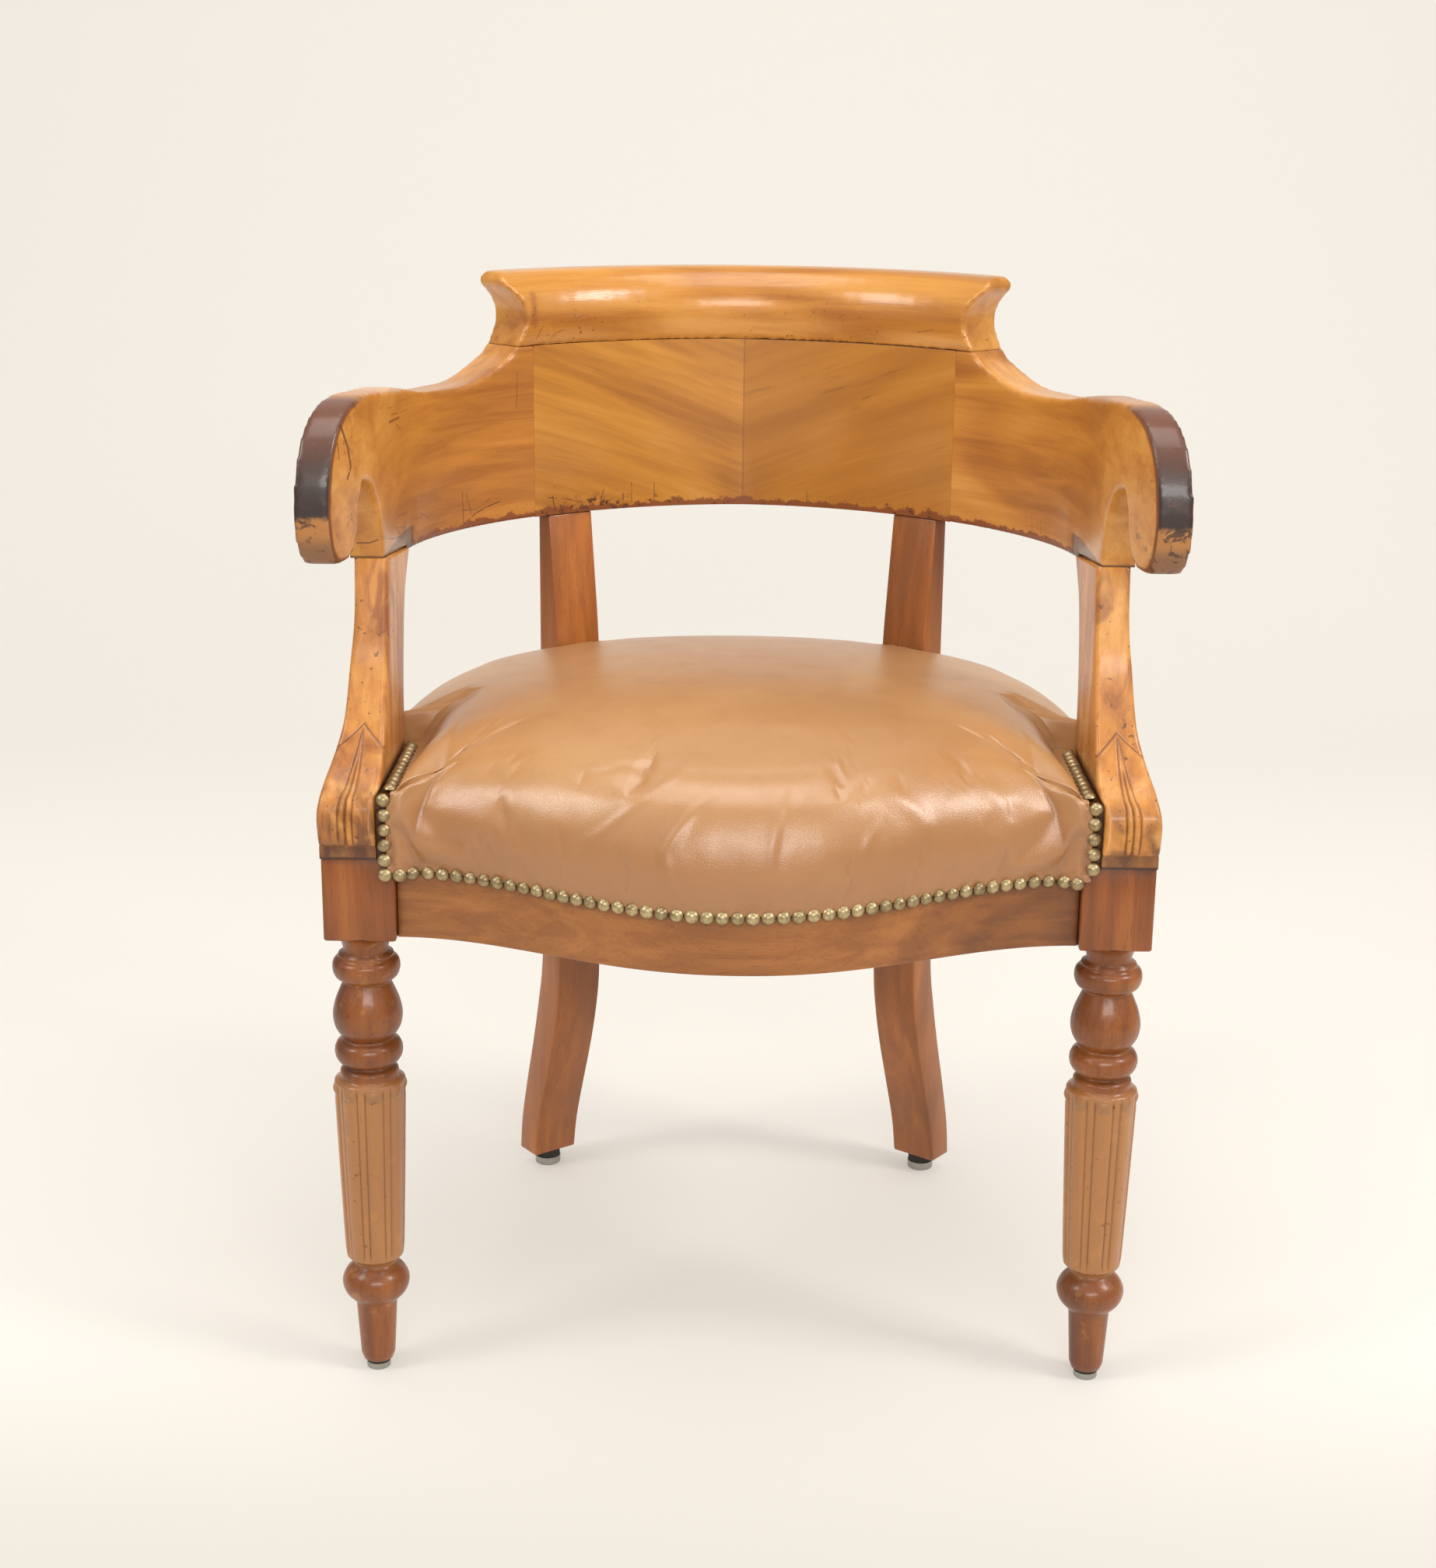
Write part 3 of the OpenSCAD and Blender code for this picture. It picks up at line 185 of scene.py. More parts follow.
class Finish:
    """A procedural material with its Principled shader."""

    def __init__(self, name, kind="materials", shader="Principled BSDF"):
        self.material = getattr(bpy.data, kind).new(name)
        self.material.use_nodes = True
        self.tree = self.material.node_tree
        self.shader = self.tree.nodes[shader]

    def node(self, kind, settings=None, values=None, out=0):
        """Makes a node: its settings first, then the values or links of its sockets."""
        made = self.tree.nodes.new(kind)
        for key, value in (settings or {}).items():
            if key == "stops":
                while len(made.color_ramp.elements) < len(value):
                    made.color_ramp.elements.new(1.0)
                for element, (place, colour) in zip(made.color_ramp.elements, value):
                    element.position = place
                    element.color = (*colour, 1.0)
            else:
                setattr(made, key, value)
        for key, value in (values or {}).items():
            if isinstance(value, Wire):
                self.tree.links.new(value.socket, made.inputs[key])
            else:
                made.inputs[key].default_value = value
        return Wire(self, made.outputs[out])

    def set(self, **values):
        """Sets the shader's own sockets; an underscore stands for a space."""
        for key, value in values.items():
            socket = self.shader.inputs[key.replace("_", " ")]
            if isinstance(value, Wire):
                self.tree.links.new(value.socket, socket)
            else:
                socket.default_value = value

    def place(self):
        return self.node("ShaderNodeTexCoord", out="Object")

    def parts(self, vector):
        split = self.node("ShaderNodeSeparateXYZ", values={0: vector})
        return split, *(Wire(self, split.socket.node.outputs[i]) for i in (1, 2))

    def join(self, x, y, z):
        return self.node("ShaderNodeCombineXYZ", values={0: x, 1: y, 2: z})

    def noise(self, vector, scale=1.0, detail=4.0, rough=0.55, distort=0.0):
        values = {"Vector": vector, "Scale": scale, "Detail": detail, "Roughness": rough}
        return self.node("ShaderNodeTexNoise", values={**values, "Distortion": distort})

    def vector(self, operation, values, out=0):
        return self.node("ShaderNodeVectorMath", {"operation": operation}, values, out)

    def larger(self, first, second):
        return self.node("ShaderNodeMath", {"operation": "MAXIMUM"}, {0: first, 1: second})

    def wave(self, value):
        return self.node("ShaderNodeMath", {"operation": "SINE"}, {0: value})

    def blend(self, amount, first, second):
        """Colour mix: first where amount is 0, second where it is 1."""
        colours = [(*c, 1.0) if isinstance(c, tuple) else c for c in (first, second)]
        return self.node(
            "ShaderNodeMix",
            {"data_type": "RGBA", "clamp_factor": True},
            {0: amount, 6: colours[0], 7: colours[1]},
            out=2,
        )

    def drawn(self, place, lines, blur=0.4):
        """1 on any of some lines, each a list of points with a width, and 0 beside them."""
        total = None
        for points, width in lines:
            near = None
            for first, last in zip(points[:-1], points[1:]):
                step = last - first
                share = tuple(step / max(step.length_squared, 1e-12))
                off = self.vector("SUBTRACT", {0: place, 1: first})
                along = self.vector("DOT_PRODUCT", {0: off, 1: share}, 1)
                along = self.node("ShaderNodeClamp", values={"Value": along})
                foot = self.vector("SCALE", {0: step, "Scale": along})
                gap = self.vector("DISTANCE", {0: off, 1: foot}, 1)
                if near is not None:
                    gap = self.node("ShaderNodeMath", {"operation": "MINIMUM"}, {0: near, 1: gap})
                near = gap
            line = near.ramp(width / 2 * (1 + blur), width / 2 * (1 - blur))
            total = line if total is None else self.larger(total, line)
        return total

    def bump(self, height, distance, strength=1.0):
        values = {"Height": height, "Distance": distance, "Strength": strength}
        return self.node("ShaderNodeBump", values=values)


def smoothstep(value, low, high):
    t = min(max((value - low) / (high - low), 0.0), 1.0)
    return t * t * (3 - 2 * t)


def tone(red, green, blue):
    """A colour from its 0 to 255 screen values."""
    screen = (red / 255, green / 255, blue / 255)
    return tuple(v / 12.92 if v <= 0.04045 else ((v + 0.055) / 1.055) ** 2.4 for v in screen)


print("shader sums ready")

# %% [markdown]
# A studio sweep is a floor that curves up into a wall, so no corner shows behind the
# chair. It is pale and warm, with painted shade that darkens it towards the camera. Part of
# its brightness is shown straight to the camera, as an overexposed paper sweep looks, and
# the rest is real shading, so the chair keeps its soft shadow.

# %% Build the sweep
wall_y, bend, half_width = 1.6, 1.2, 1.9
profile = [(-6.0, 0.0), (wall_y, 0.0)]
for i in range(1, 13):
    angle = math.radians(7.5 * i)
    profile.append((wall_y + bend * math.sin(angle), bend - bend * math.cos(angle)))
profile.append((wall_y + bend, 6.0))
sweep_mesh = bpy.data.meshes.new("studio_sweep")
sweep_mesh.from_pydata(
    [(x, y, z) for y, z in profile for x in (-half_width, half_width)],
    [],
    [(2 * i, 2 * i + 1, 2 * i + 3, 2 * i + 2) for i in range(len(profile) - 1)],
)
sweep_mesh.update()
sweep_mesh.shade_smooth()
sweep = placed("studio_sweep", sweep_mesh)
paper = Finish("paper sweep")
# Painted shade: the paper's colour darkens towards the camera, holding back the front box's light on the
# near floor.
near = paper.parts(paper.place())[1].ramp(leg_y + 0.15, leg_y - 0.3)
pale = paper.blend(near, tone(242, 237, 229), tone(206, 201, 192))
paper.set(Base_Color=pale, Roughness=0.85, Specular_IOR_Level=0.1)
shown = paper.node("ShaderNodeEmission", values={"Color": (*tone(252, 248, 241), 1.0), "Strength": 1.0})
rays = paper.node("ShaderNodeLightPath", out="Is Camera Ray")
glossy = Wire(paper, rays.socket.node.outputs["Is Glossy Ray"])
through = Wire(paper, rays.socket.node.outputs["Is Transmission Ray"])
share = (rays + glossy + through) * 0.3
shaded = Wire(paper, paper.shader.outputs[0])
mixed = paper.node("ShaderNodeMixShader", values={0: share, 1: shaded, 2: shown})
paper.tree.links.new(mixed.socket, paper.tree.nodes["Material Output"].inputs["Surface"])
sweep.data.materials.append(paper.material)
print("sweep points:", len(profile))

# %% [markdown]
# The light is that of a small product studio: one large soft box over the chair, one high on
# each side, a long low one in front, and an even fill from the walls. The front box draws
# the middle highlight on the crest and on the leather, and the side boxes draw the outer
# ones. In reflections the walls are dimmer than they look, so polished wood keeps its depth.

# %% Light the studio
world = Finish("studio walls", "worlds", "Background")
world.set(Color=(1.0, 0.985, 0.96, 1.0), Strength=0.6)
seen = world.node("ShaderNodeBackground", values={"Color": (*tone(248, 243, 235), 1.0), "Strength": 1.0})
direct = world.node("ShaderNodeLightPath", out="Is Camera Ray")
dim = world.node("ShaderNodeBackground", values={"Color": (1.0, 0.97, 0.93, 1.0), "Strength": 0.3})
mirrored = Wire(world, direct.socket.node.outputs["Is Glossy Ray"])
lit = Wire(world, world.shader.outputs[0])
far = world.node("ShaderNodeMixShader", values={0: mirrored, 1: lit, 2: dim})
walls = world.node("ShaderNodeMixShader", values={0: direct, 1: far, 2: seen})
world.tree.links.new(walls.socket, world.tree.nodes["World Output"].inputs["Surface"])
bpy.context.scene.world = world.material


def soft_box(name, place, target, size, watts):
    """A rectangular lamp that faces a target; places and sizes are in metres."""
    light = bpy.data.lights.new(name, "AREA")
    light.shape = "RECTANGLE"
    light.size, light.size_y = size
    light.energy = watts
    light.color = (1.0, 0.985, 0.965)
    lamp = placed(name, light)
    lamp.location = place
    lamp.rotation_mode = "QUATERNION"
    lamp.rotation_quaternion = (Vector(target) - Vector(place)).to_track_quat("-Z", "Y")


soft_box("overhead_box", (0.0, -0.35, 2.45), (0, 0.0, 0.4), (1.6, 1.2), 19)
soft_box("left_box", (-2.1, -1.1, 2.15), (0, 0.0, 0.45), (0.8, 1.05), 22)
soft_box("right_box", (2.2, -1.0, 2.2), (0, 0.0, 0.45), (0.75, 1.0), 34)
soft_box("front_box", (0.25, -2.6, 1.42), (0, 0.2, 0.75), (1.8, 0.28), 22)
bpy.context.scene.view_settings.view_transform = "Standard"
print("soft boxes:", len(bpy.data.lights))

# %% [markdown]
# Polished wood has layers of pattern. Wide, slow changes of tone lie under thin streaks
# that run with the grain, and short dark pores lie in those. Old polish also holds dirt
# in the corners and thins on the edges. One function builds the layers from a grain
# vector, in metres, whose first part runs along the grain, and darkens the corners by
# ambient occlusion: painted shade, which stands for that dirt as well.

# %% Wood finishes
def wood(name, light, middle, dark, grain, figure=1.0, pores=0.5, gloss=0.33, seed=0.0, extra=None):
    """Polished wood: its three tones, its grain, and what else the piece shows."""
    finish = Finish(name)
    place = finish.place()
    along, side, deep = grain(finish, place)
    fine = finish.noise(finish.join(along * 14.0 + seed, side * 620.0, deep * 620.0), detail=3.0, rough=0.6)
    streak = finish.noise(finish.join(along * 5.0 + seed, side * 90.0, deep * 90.0), detail=4.0, distort=0.6)
    broad = finish.noise(finish.join(along * 3.0 - seed, side * 11.0, deep * 11.0), detail=2.0, distort=1.2)
    depth = broad.ramp(0.3, 0.72) * (0.55 * figure) + streak.ramp(0.32, 0.7) * (0.3 * figure) + fine * 0.25
    stops = [(0.08, light), (0.45, middle), (0.95, dark)]
    colour = finish.node("ShaderNodeValToRGB", {"stops": stops}, {0: depth})
    pore = finish.noise(finish.join(along * 60.0, side * 1500.0, deep * 1500.0 + seed), detail=1.0)
    pore = pore.ramp(0.62, 0.75)
    colour = finish.blend(pore * pores * 0.55, colour, tuple(0.35 * v for v in dark))
    # Painted shade: ambient occlusion darkens corners and joints, and also stands for the dirt that old
    # polish holds there.
    corner_shade = finish.node("ShaderNodeAmbientOcclusion", {"samples": 6}, {"Distance": 0.012}, out="AO")
    colour = finish.blend(corner_shade.ramp(0.75, 0.25) * 0.75, colour, tuple(0.22 * v for v in dark))
    rough = gloss + fine * 0.1 + broad.ramp(0.45, 0.75) * 0.07
    height = fine * 0.5 + pore * -0.6 + streak * 0.5
    if extra is not None:
        colour, rough, height = extra(finish, place, colour, rough, height)
    finish.set(
        Base_Color=colour,
        Roughness=rough,
        Normal=finish.bump(height, 0.00035, 0.35),
        Coat_Weight=0.35,
        Coat_Roughness=0.16,
        Specular_IOR_Level=0.5,
    )
    return finish.material


def upright_grain(finish, place):
    x, y, z = finish.parts(place)
    return z, x, y


def cross_grain(finish, place):
    x, y, z = finish.parts(place)
    return x, z, y


yoke_centre = leg_y + 0.135


def bow_grain(finish, place):
    """Grain that follows the round back: the angle round its centre, the height, the radius."""
    x, y, z = finish.parts(place)
    from_centre = y - yoke_centre
    angle = finish.node("ShaderNodeMath", {"operation": "ARCTAN2"}, {0: x, 1: from_centre + 0.0001})
    radius = finish.vector("LENGTH", {0: finish.join(x, from_centre, 0.0)}, 1)
    return angle * 0.25, z, radius


def leaf_grain(finish, place):
    """Veneer grain: two matched leaves whose streaks rise from the seam on either side."""
    x, y, z = finish.parts(place)
    out = abs(x)
    return out * 0.93 + z * 0.36, z * 0.93 - out * 0.36, x * 0.06


print("wood finishes ready")

# %% [markdown]
# Every wooden edge on a chair of this age is rounded by hands and cloths. The solids have
# crisp edges, which catch no light and look new. So each joinery piece is copied, the
# seams of its surface are joined up, and its hard edges get a small round bevel. The copy
# stands in for the solid, which stays behind it unseen.

# %% Ease the edges of the joinery
def add_piece(name, mesh, slot, material, *nodes):
    """Puts a finished mesh in the chair: its body, its finish and the solids it replaces."""
    made = placed(name, mesh)
    made.data.materials.clear()
    made.data.materials.append(material)
    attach(made, "root")
    if nodes:
        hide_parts(*nodes)
    return made


def eased(node, width=0.0015, shown=None):
    """A copy of a solid's mesh with its hard edges rounded, where shown(point) holds."""
    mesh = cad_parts[node].data.copy()
    work = bmesh.new()
    work.from_mesh(mesh)
    bmesh.ops.remove_doubles(work, verts=work.verts, dist=0.00003)
    bmesh.ops.dissolve_limit(work, angle_limit=math.radians(0.6), verts=work.verts, edges=work.edges)
    sharp = math.radians(26)
    hard = [e for e in work.edges if len(e.link_faces) == 2 and e.calc_face_angle(0) > sharp]
    if shown is not None:
        hard = [e for e in hard if shown((e.verts[0].co + e.verts[1].co) / 2)]
    bmesh.ops.bevel(
        work, geom=hard, offset=width, offset_type="OFFSET", segments=3, profile=0.5,
        affect="EDGES", clamp_overlap=False,
    )
    for face in work.faces:
        face.smooth = True
    work.to_mesh(mesh)
    work.free()
    mesh.set_sharp_from_angle(angle=math.radians(38))
    return mesh


def remeshed(made, voxel):
    """An object's mesh, rebuilt in small squares of one size."""
    remesh = made.modifiers.new("remesh", "REMESH")
    remesh.mode = "VOXEL"
    remesh.voxel_size = voxel
    mesh = bpy.data.meshes.new_from_object(made.evaluated_get(bpy.context.evaluated_depsgraph_get()))
    made.modifiers.clear()
    return mesh


def listed(rows, key, width, kind=float):
    """One value of each of a mesh's vertices or edges, as the rows of an array."""
    values = np.empty(len(rows) * width, dtype=kind)
    rows.foreach_get(key, values)
    return values.reshape(-1, width)


def neighbour_sum(values, ends):
    """For each point, the sum of its neighbours' values; ends holds each edge's two points."""
    total = np.zeros_like(values)
    np.add.at(total, ends[:, 0], values[ends[:, 1]])
    np.add.at(total, ends[:, 1], values[ends[:, 0]])
    return total


def rubbed(node, voxel, times, crisp, ahead=None):
    """A copy remeshed in small squares and smoothed, so hard edges wear round, except
    where crisp(point) is 1: there the wood still meets its neighbour flush. An end face
    where ahead(point) is 0 is carried on into its neighbour, just under its surface."""
    carried, sunk = 0.004, 0.0004
    made = bpy.data.objects.new(node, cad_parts[node].data.copy())
    if ahead is not None:
        for vertex in made.data.vertices:
            if abs(ahead(vertex.co)) < 0.0004:
                side = math.copysign(1, vertex.co.x)
                vertex.co += Vector((-side * math.sin(joint_lean), math.cos(joint_lean), 0)) * carried
    bpy.context.scene.collection.objects.link(made)
    mesh = remeshed(made, voxel)
    bpy.data.objects.remove(made)
    points = listed(mesh.vertices, "co", 3)
    ends = listed(mesh.edges, "vertices", 2, np.int64)
    count = np.bincount(ends.ravel(), minlength=len(points))[:, None]
    hold = np.array([crisp(p) for p in points])[:, None]
    # The last pulls go in and out by turns, which evens out ripples and shrinks nothing.
    for pull in [0.6] * times + [0.6, -0.63] * 8:
        points += (neighbour_sum(points, ends) / count - points) * pull * (1 - hold)
    mesh.vertices.foreach_set("co", points.ravel())
    mesh.update()
    normals = listed(mesh.vertices, "normal", 3)
    side = np.abs(normals[:, 0])
    for _ in range(5):
        side = neighbour_sum(side, ends) / count[:, 0]
    mesh.attributes.new("side", "FLOAT", "POINT").data.foreach_set("value", side)
    if ahead is not None:
        under = np.array([sunk * smoothstep(-ahead(p), 0.0002, 0.0012) for p in points])[:, None]
        mesh.vertices.foreach_set("co", (points - normals * under).ravel())
    mesh.shade_smooth()
    return mesh


walnut = wood(
    "rail walnut", tone(174, 110, 50), tone(148, 88, 36), tone(114, 64, 26), cross_grain, pores=0.9, seed=3.0
)
leg_walnut = wood(
    "leg walnut", tone(168, 98, 38), tone(140, 74, 24), tone(98, 50, 16), upright_grain, pores=0.9, seed=7.0
)
post_walnut = wood(
    "rear leg walnut", tone(184, 110, 42), tone(158, 90, 34), tone(130, 74, 28), upright_grain, pores=0.8,
    gloss=0.4, seed=11.0,
)
worn = {}
for node in ("seat_rail_front", "seat_rail_left", "seat_rail_right", "seat_rail_back"):
    worn[node] = add_piece(node + "_worn", eased(node, 0.0012), "rail_wood", walnut, node)
for node in ("rear_leg_left", "rear_leg_right"):
    worn[node] = add_piece(node + "_worn", eased(node, 0.0018), "rear_leg_wood", post_walnut, node)
print({name: len(piece.data.polygons) for name, piece in worn.items()})

# %% [markdown]
# The back, its arms and the crest are one yoke of golden hardwood. Their grain follows
# the bend. The arm ends have been gripped for a century: their front bands are nearly
# black, oxblood higher up, and worn to bare wood at the bottom. The band is found by its
# direction: its surface never faces sideways, while the arm's inside and outside do.

# %% Finish the arms and the crest
joint_x = 0.165
joint_y = leg_y + 0.3012
joint_lean = math.radians(46.6)


def from_back(point):
    """How far a point of an arm is from the plane where the back begins."""
    return (abs(point[0]) - joint_x) * math.sin(joint_lean) - (point[1] - joint_y) * math.cos(joint_lean)


def at_arm_joint(point):
    """1 where an arm meets the back, the crest or its support, and 0 a little away."""
    return max(
        smoothstep(from_back(point), 0.004, 0.002), smoothstep(point[2], 0.7165, 0.7185),
        smoothstep(point[2], 0.603, 0.601),
    )


def worn_edge(finish, place, z, colour):
    """The lower edge of the back, rubbed to a ragged red-brown band."""
    ragged = finish.noise(place, 75.0, 4.0, 0.7)
    worn = (z - ragged * 0.019).ramp(0.5812, 0.5798)
    return finish.blend(worn * 0.85, colour, tone(126, 66, 38))


arm_lines = traced(("arm_left", "arm_right"), [
    ([(508, 677), (515, 688), (521, 700)], 1.1),
    ([(459, 698), (475, 698), (486, 694), (499, 693), (509, 692), (514, 689)], 0.9),
    ([(500, 543), (513, 537)], 1.7), ([(503, 533), (512, 531)], 0.7), ([(509, 545), (515, 553)], 1.1),
    ([(516, 530), (523, 526)], 0.6), ([(499, 524.5), (504, 524)], 0.5),
    ([(437, 545), (447, 575), (451, 600), (447, 615)], 2.6), ([(434, 570), (436, 590)], 1.4),
    ([(453, 590), (482, 574)], 0.3), ([(446, 613), (470, 595)], 0.3), ([(540, 659), (551, 666)], 0.5),
    ([(510, 678), (520, 678), (533, 682), (551, 688)], 0.5), ([(512, 664), (520, 660)], 0.9),
    ([(507, 653), (510, 666)], 0.5), ([(599, 634), (606, 661)], 0.6), ([(594.5, 634), (596, 672)], 0.8),
    ([(596, 656), (613, 655.5)], 0.5), ([(596, 674), (610, 661), (625, 652), (642, 645)], 0.9),
    ([(602, 671), (629, 641)], 0.6), ([(664, 466), (665, 490), (664, 526)], 0.45),
    ([(1326, 664), (1327, 682)], 0.5), ([(1338, 668), (1338, 688)], 0.4), ([(1386, 690), (1387, 706)], 0.5),
])


def arm_marks(finish, place, colour, rough, height):
    """The dark bands on the arm ends, and the arms' own scratches."""
    y, z = finish.parts(place)[1:]
    side = finish.node("ShaderNodeAttribute", {"attribute_name": "side"}, out="Fac")
    cloud = finish.noise(place, 26.0, 5.0, 0.65)
    grit = finish.noise(place, 160.0, 3.0, 0.6)
    fleck = finish.noise(place, 95.0, 4.0, 0.7, 0.6)
    colour = worn_edge(finish, place, z, colour)
    front = y.ramp(leg_y + 0.012, leg_y - 0.012)
    band = side.ramp(0.78, 0.55) * front
    low = (z + fleck * 0.012).ramp(0.651, 0.646)
    stain = finish.blend(z.ramp(0.712, 0.672), tone(106, 62, 42), tone(84, 60, 50))
    stain = finish.blend(z.ramp(0.69, 0.66) * (fleck.ramp(0.62, 0.7) * -0.5 + 1.0), stain, tone(54, 38, 34))
    bare = finish.blend(z.ramp(0.634, 0.622), tone(176, 116, 56), tone(138, 94, 60))
    bare = finish.blend(fleck.ramp(0.52, 0.6) * 0.85, bare, tone(66, 40, 30))
    stain = finish.blend(low, stain, bare)
    stain = finish.blend(grit.ramp(0.55, 0.75) * 0.25, stain, tone(132, 84, 62))
    colour = finish.blend(band, colour, stain)
    rim = side.ramp(0.5, 0.68) * side.ramp(0.93, 0.8) * front * z.ramp(0.735, 0.71)
    colour = finish.blend(rim * 0.8, colour, tone(92, 44, 28))
    scuff = (cloud * 0.6 + grit * 0.55).ramp(0.66, 0.73) * y.ramp(leg_y + 0.04, leg_y - 0.02) * 0.5
    lines = finish.drawn(place, arm_lines) * fleck.ramp(0.36, 0.46)
    marks = finish.larger(scuff, lines * 0.85)
    colour = finish.blend(marks, colour, tone(88, 46, 28))
    gap = z.ramp(0.6019, 0.6012) * y.ramp(leg_y + 0.17, leg_y + 0.16)
    colour = finish.blend(gap * 0.7, colour, tone(60, 34, 22))
    return colour, rough + low * band * 0.2 + band * 0.03, height - marks * 0.6


crest_lines = traced(("crest_rail",), [
    ([(689, 437), (697, 421), (703, 412)], 0.5), ([(706, 437), (715, 428), (728, 424)], 0.4),
    ([(1180, 427), (1200, 424)], 0.5), ([(1268.6, 437), (1269.6, 437)], 1.6),
    ([(742, 409), (752, 405)], 0.5), ([(1012, 432), (1018, 432)], 1.6),
])
ear_stain = traced(("crest_rail",), [([(685, 380), (687, 416)], 6.0)])


def crest_marks(finish, place, colour, rough, height):
    """Specks and scratches on the crest, and the stain on its left ear."""
    z = finish.parts(place)[2]
    grit = finish.noise(place, 210.0, 4.0, 0.7)
    patch = finish.noise(place, 17.0, 2.0)
    specks = grit.ramp(0.6, 0.67) * patch.ramp(0.42, 0.6) * z.ramp(0.768, 0.735)
    lines = finish.drawn(place, crest_lines) * grit.ramp(0.4, 0.46)
    colour = finish.blend(finish.drawn(place, ear_stain, 0.8) * 0.5, colour, tone(146, 80, 42))
    colour = finish.blend(specks * 0.8, colour, tone(92, 52, 28))
    colour = finish.blend(lines * 0.8, colour, tone(84, 44, 26))
    return colour, rough, height - specks * 0.6 - lines * 0.5


arm_wood = wood(
    "arm hardwood", tone(216, 156, 76), tone(196, 130, 54), tone(158, 96, 38), bow_grain, pores=0.25,
    gloss=0.3, seed=2.0, extra=arm_marks,
)
crest_wood = wood(
    "crest hardwood", tone(218, 158, 78), tone(198, 134, 56), tone(158, 94, 34), bow_grain, pores=0.2,
    gloss=0.2, seed=5.0, extra=crest_marks,
)
for node in ("arm_left", "arm_right"):
    mesh = rubbed(node, 0.0017, 7, at_arm_joint, from_back)
    worn[node] = add_piece(node + "_worn", mesh, "back_wood", arm_wood, node)
crest = rubbed("crest_rail", 0.002, 3, lambda p: smoothstep(p[2], 0.7235, 0.7215))
worn["crest_rail"] = add_piece("crest_rail_worn", crest, "back_wood", crest_wood, "crest_rail")
back = eased("back_rail", shown=lambda p: p.z < 0.586)
worn["back_rail"] = add_piece("back_rail_worn", back, "back_wood", arm_wood, "back_rail")
print({name: len(worn[name].data.polygons) for name in ("arm_left", "crest_rail", "back_rail")})

# %% [markdown]
# The inside of the back is faced with two leaves of veneer cut one after the other and
# opened like a book, so their streaks mirror each other across the seam. The right leaf
# is a little darker. Chairs stacked against it have scratched its lower edge.

# %% Finish the veneer
panel_lines = traced(("veneer_left", "veneer_right"), [
    ([(641, 619), (645, 663)], 0.6), ([(660, 619), (661, 657)], 1.0), ([(656, 618), (657, 625)], 0.6),
    ([(692, 624), (682, 657)], 1.1), ([(692, 624), (670, 639)], 0.4), ([(594.5, 634), (596, 672)], 0.9),
    ([(642, 645), (663, 640.6), (682, 638.6), (705, 639.8), (724, 641), (751, 646)], 0.7),
    ([(710, 635), (713.6, 657)], 1.0), ([(713.6, 625), (713.6, 634)], 0.5), ([(740, 650), (740, 655)], 0.6),
    ([(776, 629), (771, 649)], 0.7), ([(800.7, 634), (801.4, 647)], 0.8), ([(811.6, 621), (812, 646)], 0.6),
    ([(841, 620), (841, 640)], 0.6), ([(1037, 632), (1037, 645)], 0.5), ([(1268, 652), (1268, 668)], 0.6),
    ([(664, 466), (665, 490), (664, 526)], 0.45),
])


def veneer_marks(finish, place, colour, rough, height):
    """The darker right leaf, its dark streaks, the seam, and the scratched lower edge."""
    x, y, z = finish.parts(place)
    colour = finish.blend(x.ramp(-0.001, 0.001) * 0.5, colour, tone(168, 108, 38))
    out = abs(x)
    streak = finish.noise(finish.join(out * 9.0 + z * 3.0, z * 75.0 - out * 28.0, 4.0), 1.0, 5.0, 0.6, 0.8)
    dark = streak.ramp(0.58, 0.72) * (x.ramp(-0.02, 0.03) * 0.4 + 0.25)
    colour = finish.blend(dark, colour, tone(116, 66, 24))
    seam = out.ramp(0.0009, 0.0003)
    colour = finish.blend(seam * 0.4, colour, tone(110, 64, 26))
    colour = worn_edge(finish, place, z, colour)
    grit = finish.noise(place, 190.0, 3.0)
    chips = grit.ramp(0.6, 0.66) * (z + finish.noise(place, 30.0, 3.0) * 0.02).ramp(0.606, 0.598)
    low = x.ramp(-0.16, -0.13) * x.ramp(-0.08, -0.11) * z.ramp(0.602, 0.592)
    nicks = grit.ramp(0.5, 0.58) * low
    lines = finish.drawn(place, panel_lines) * grit.ramp(0.36, 0.44)
    gap = z.ramp(0.7191, 0.7197) * x.ramp(-0.01, 0.02)
    marks = finish.larger(finish.larger(chips + nicks, lines), gap)
    colour = finish.blend(marks * 0.85, colour, tone(92, 48, 26))
    return colour, rough + marks * 0.2, height - marks * 0.8


veneer_wood = wood(
    "veneer", tone(216, 158, 76), tone(198, 136, 54), tone(162, 102, 38), leaf_grain, pores=0.15, gloss=0.3,
    seed=9.0, extra=veneer_marks,
)
for node in ("veneer_left", "veneer_right"):
    thin = eased(node, 0.0004, shown=lambda p: p.z < 0.5855)
    worn[node] = add_piece(node + "_worn", thin, "veneer", veneer_wood, node)
print("veneer faces:", len(worn["veneer_left"].data.polygons))

# %% [markdown]
# A front leg was turned on a lathe and then carved. A lathe turns one outline, so the leg
# here is made the same way: the solid's radius is measured at every height, and rings of
# that radius are joined. The carver's work comes after: broad reeds between narrow strips,
# cut down the shaft, with a dark round boss at the head of each reed.

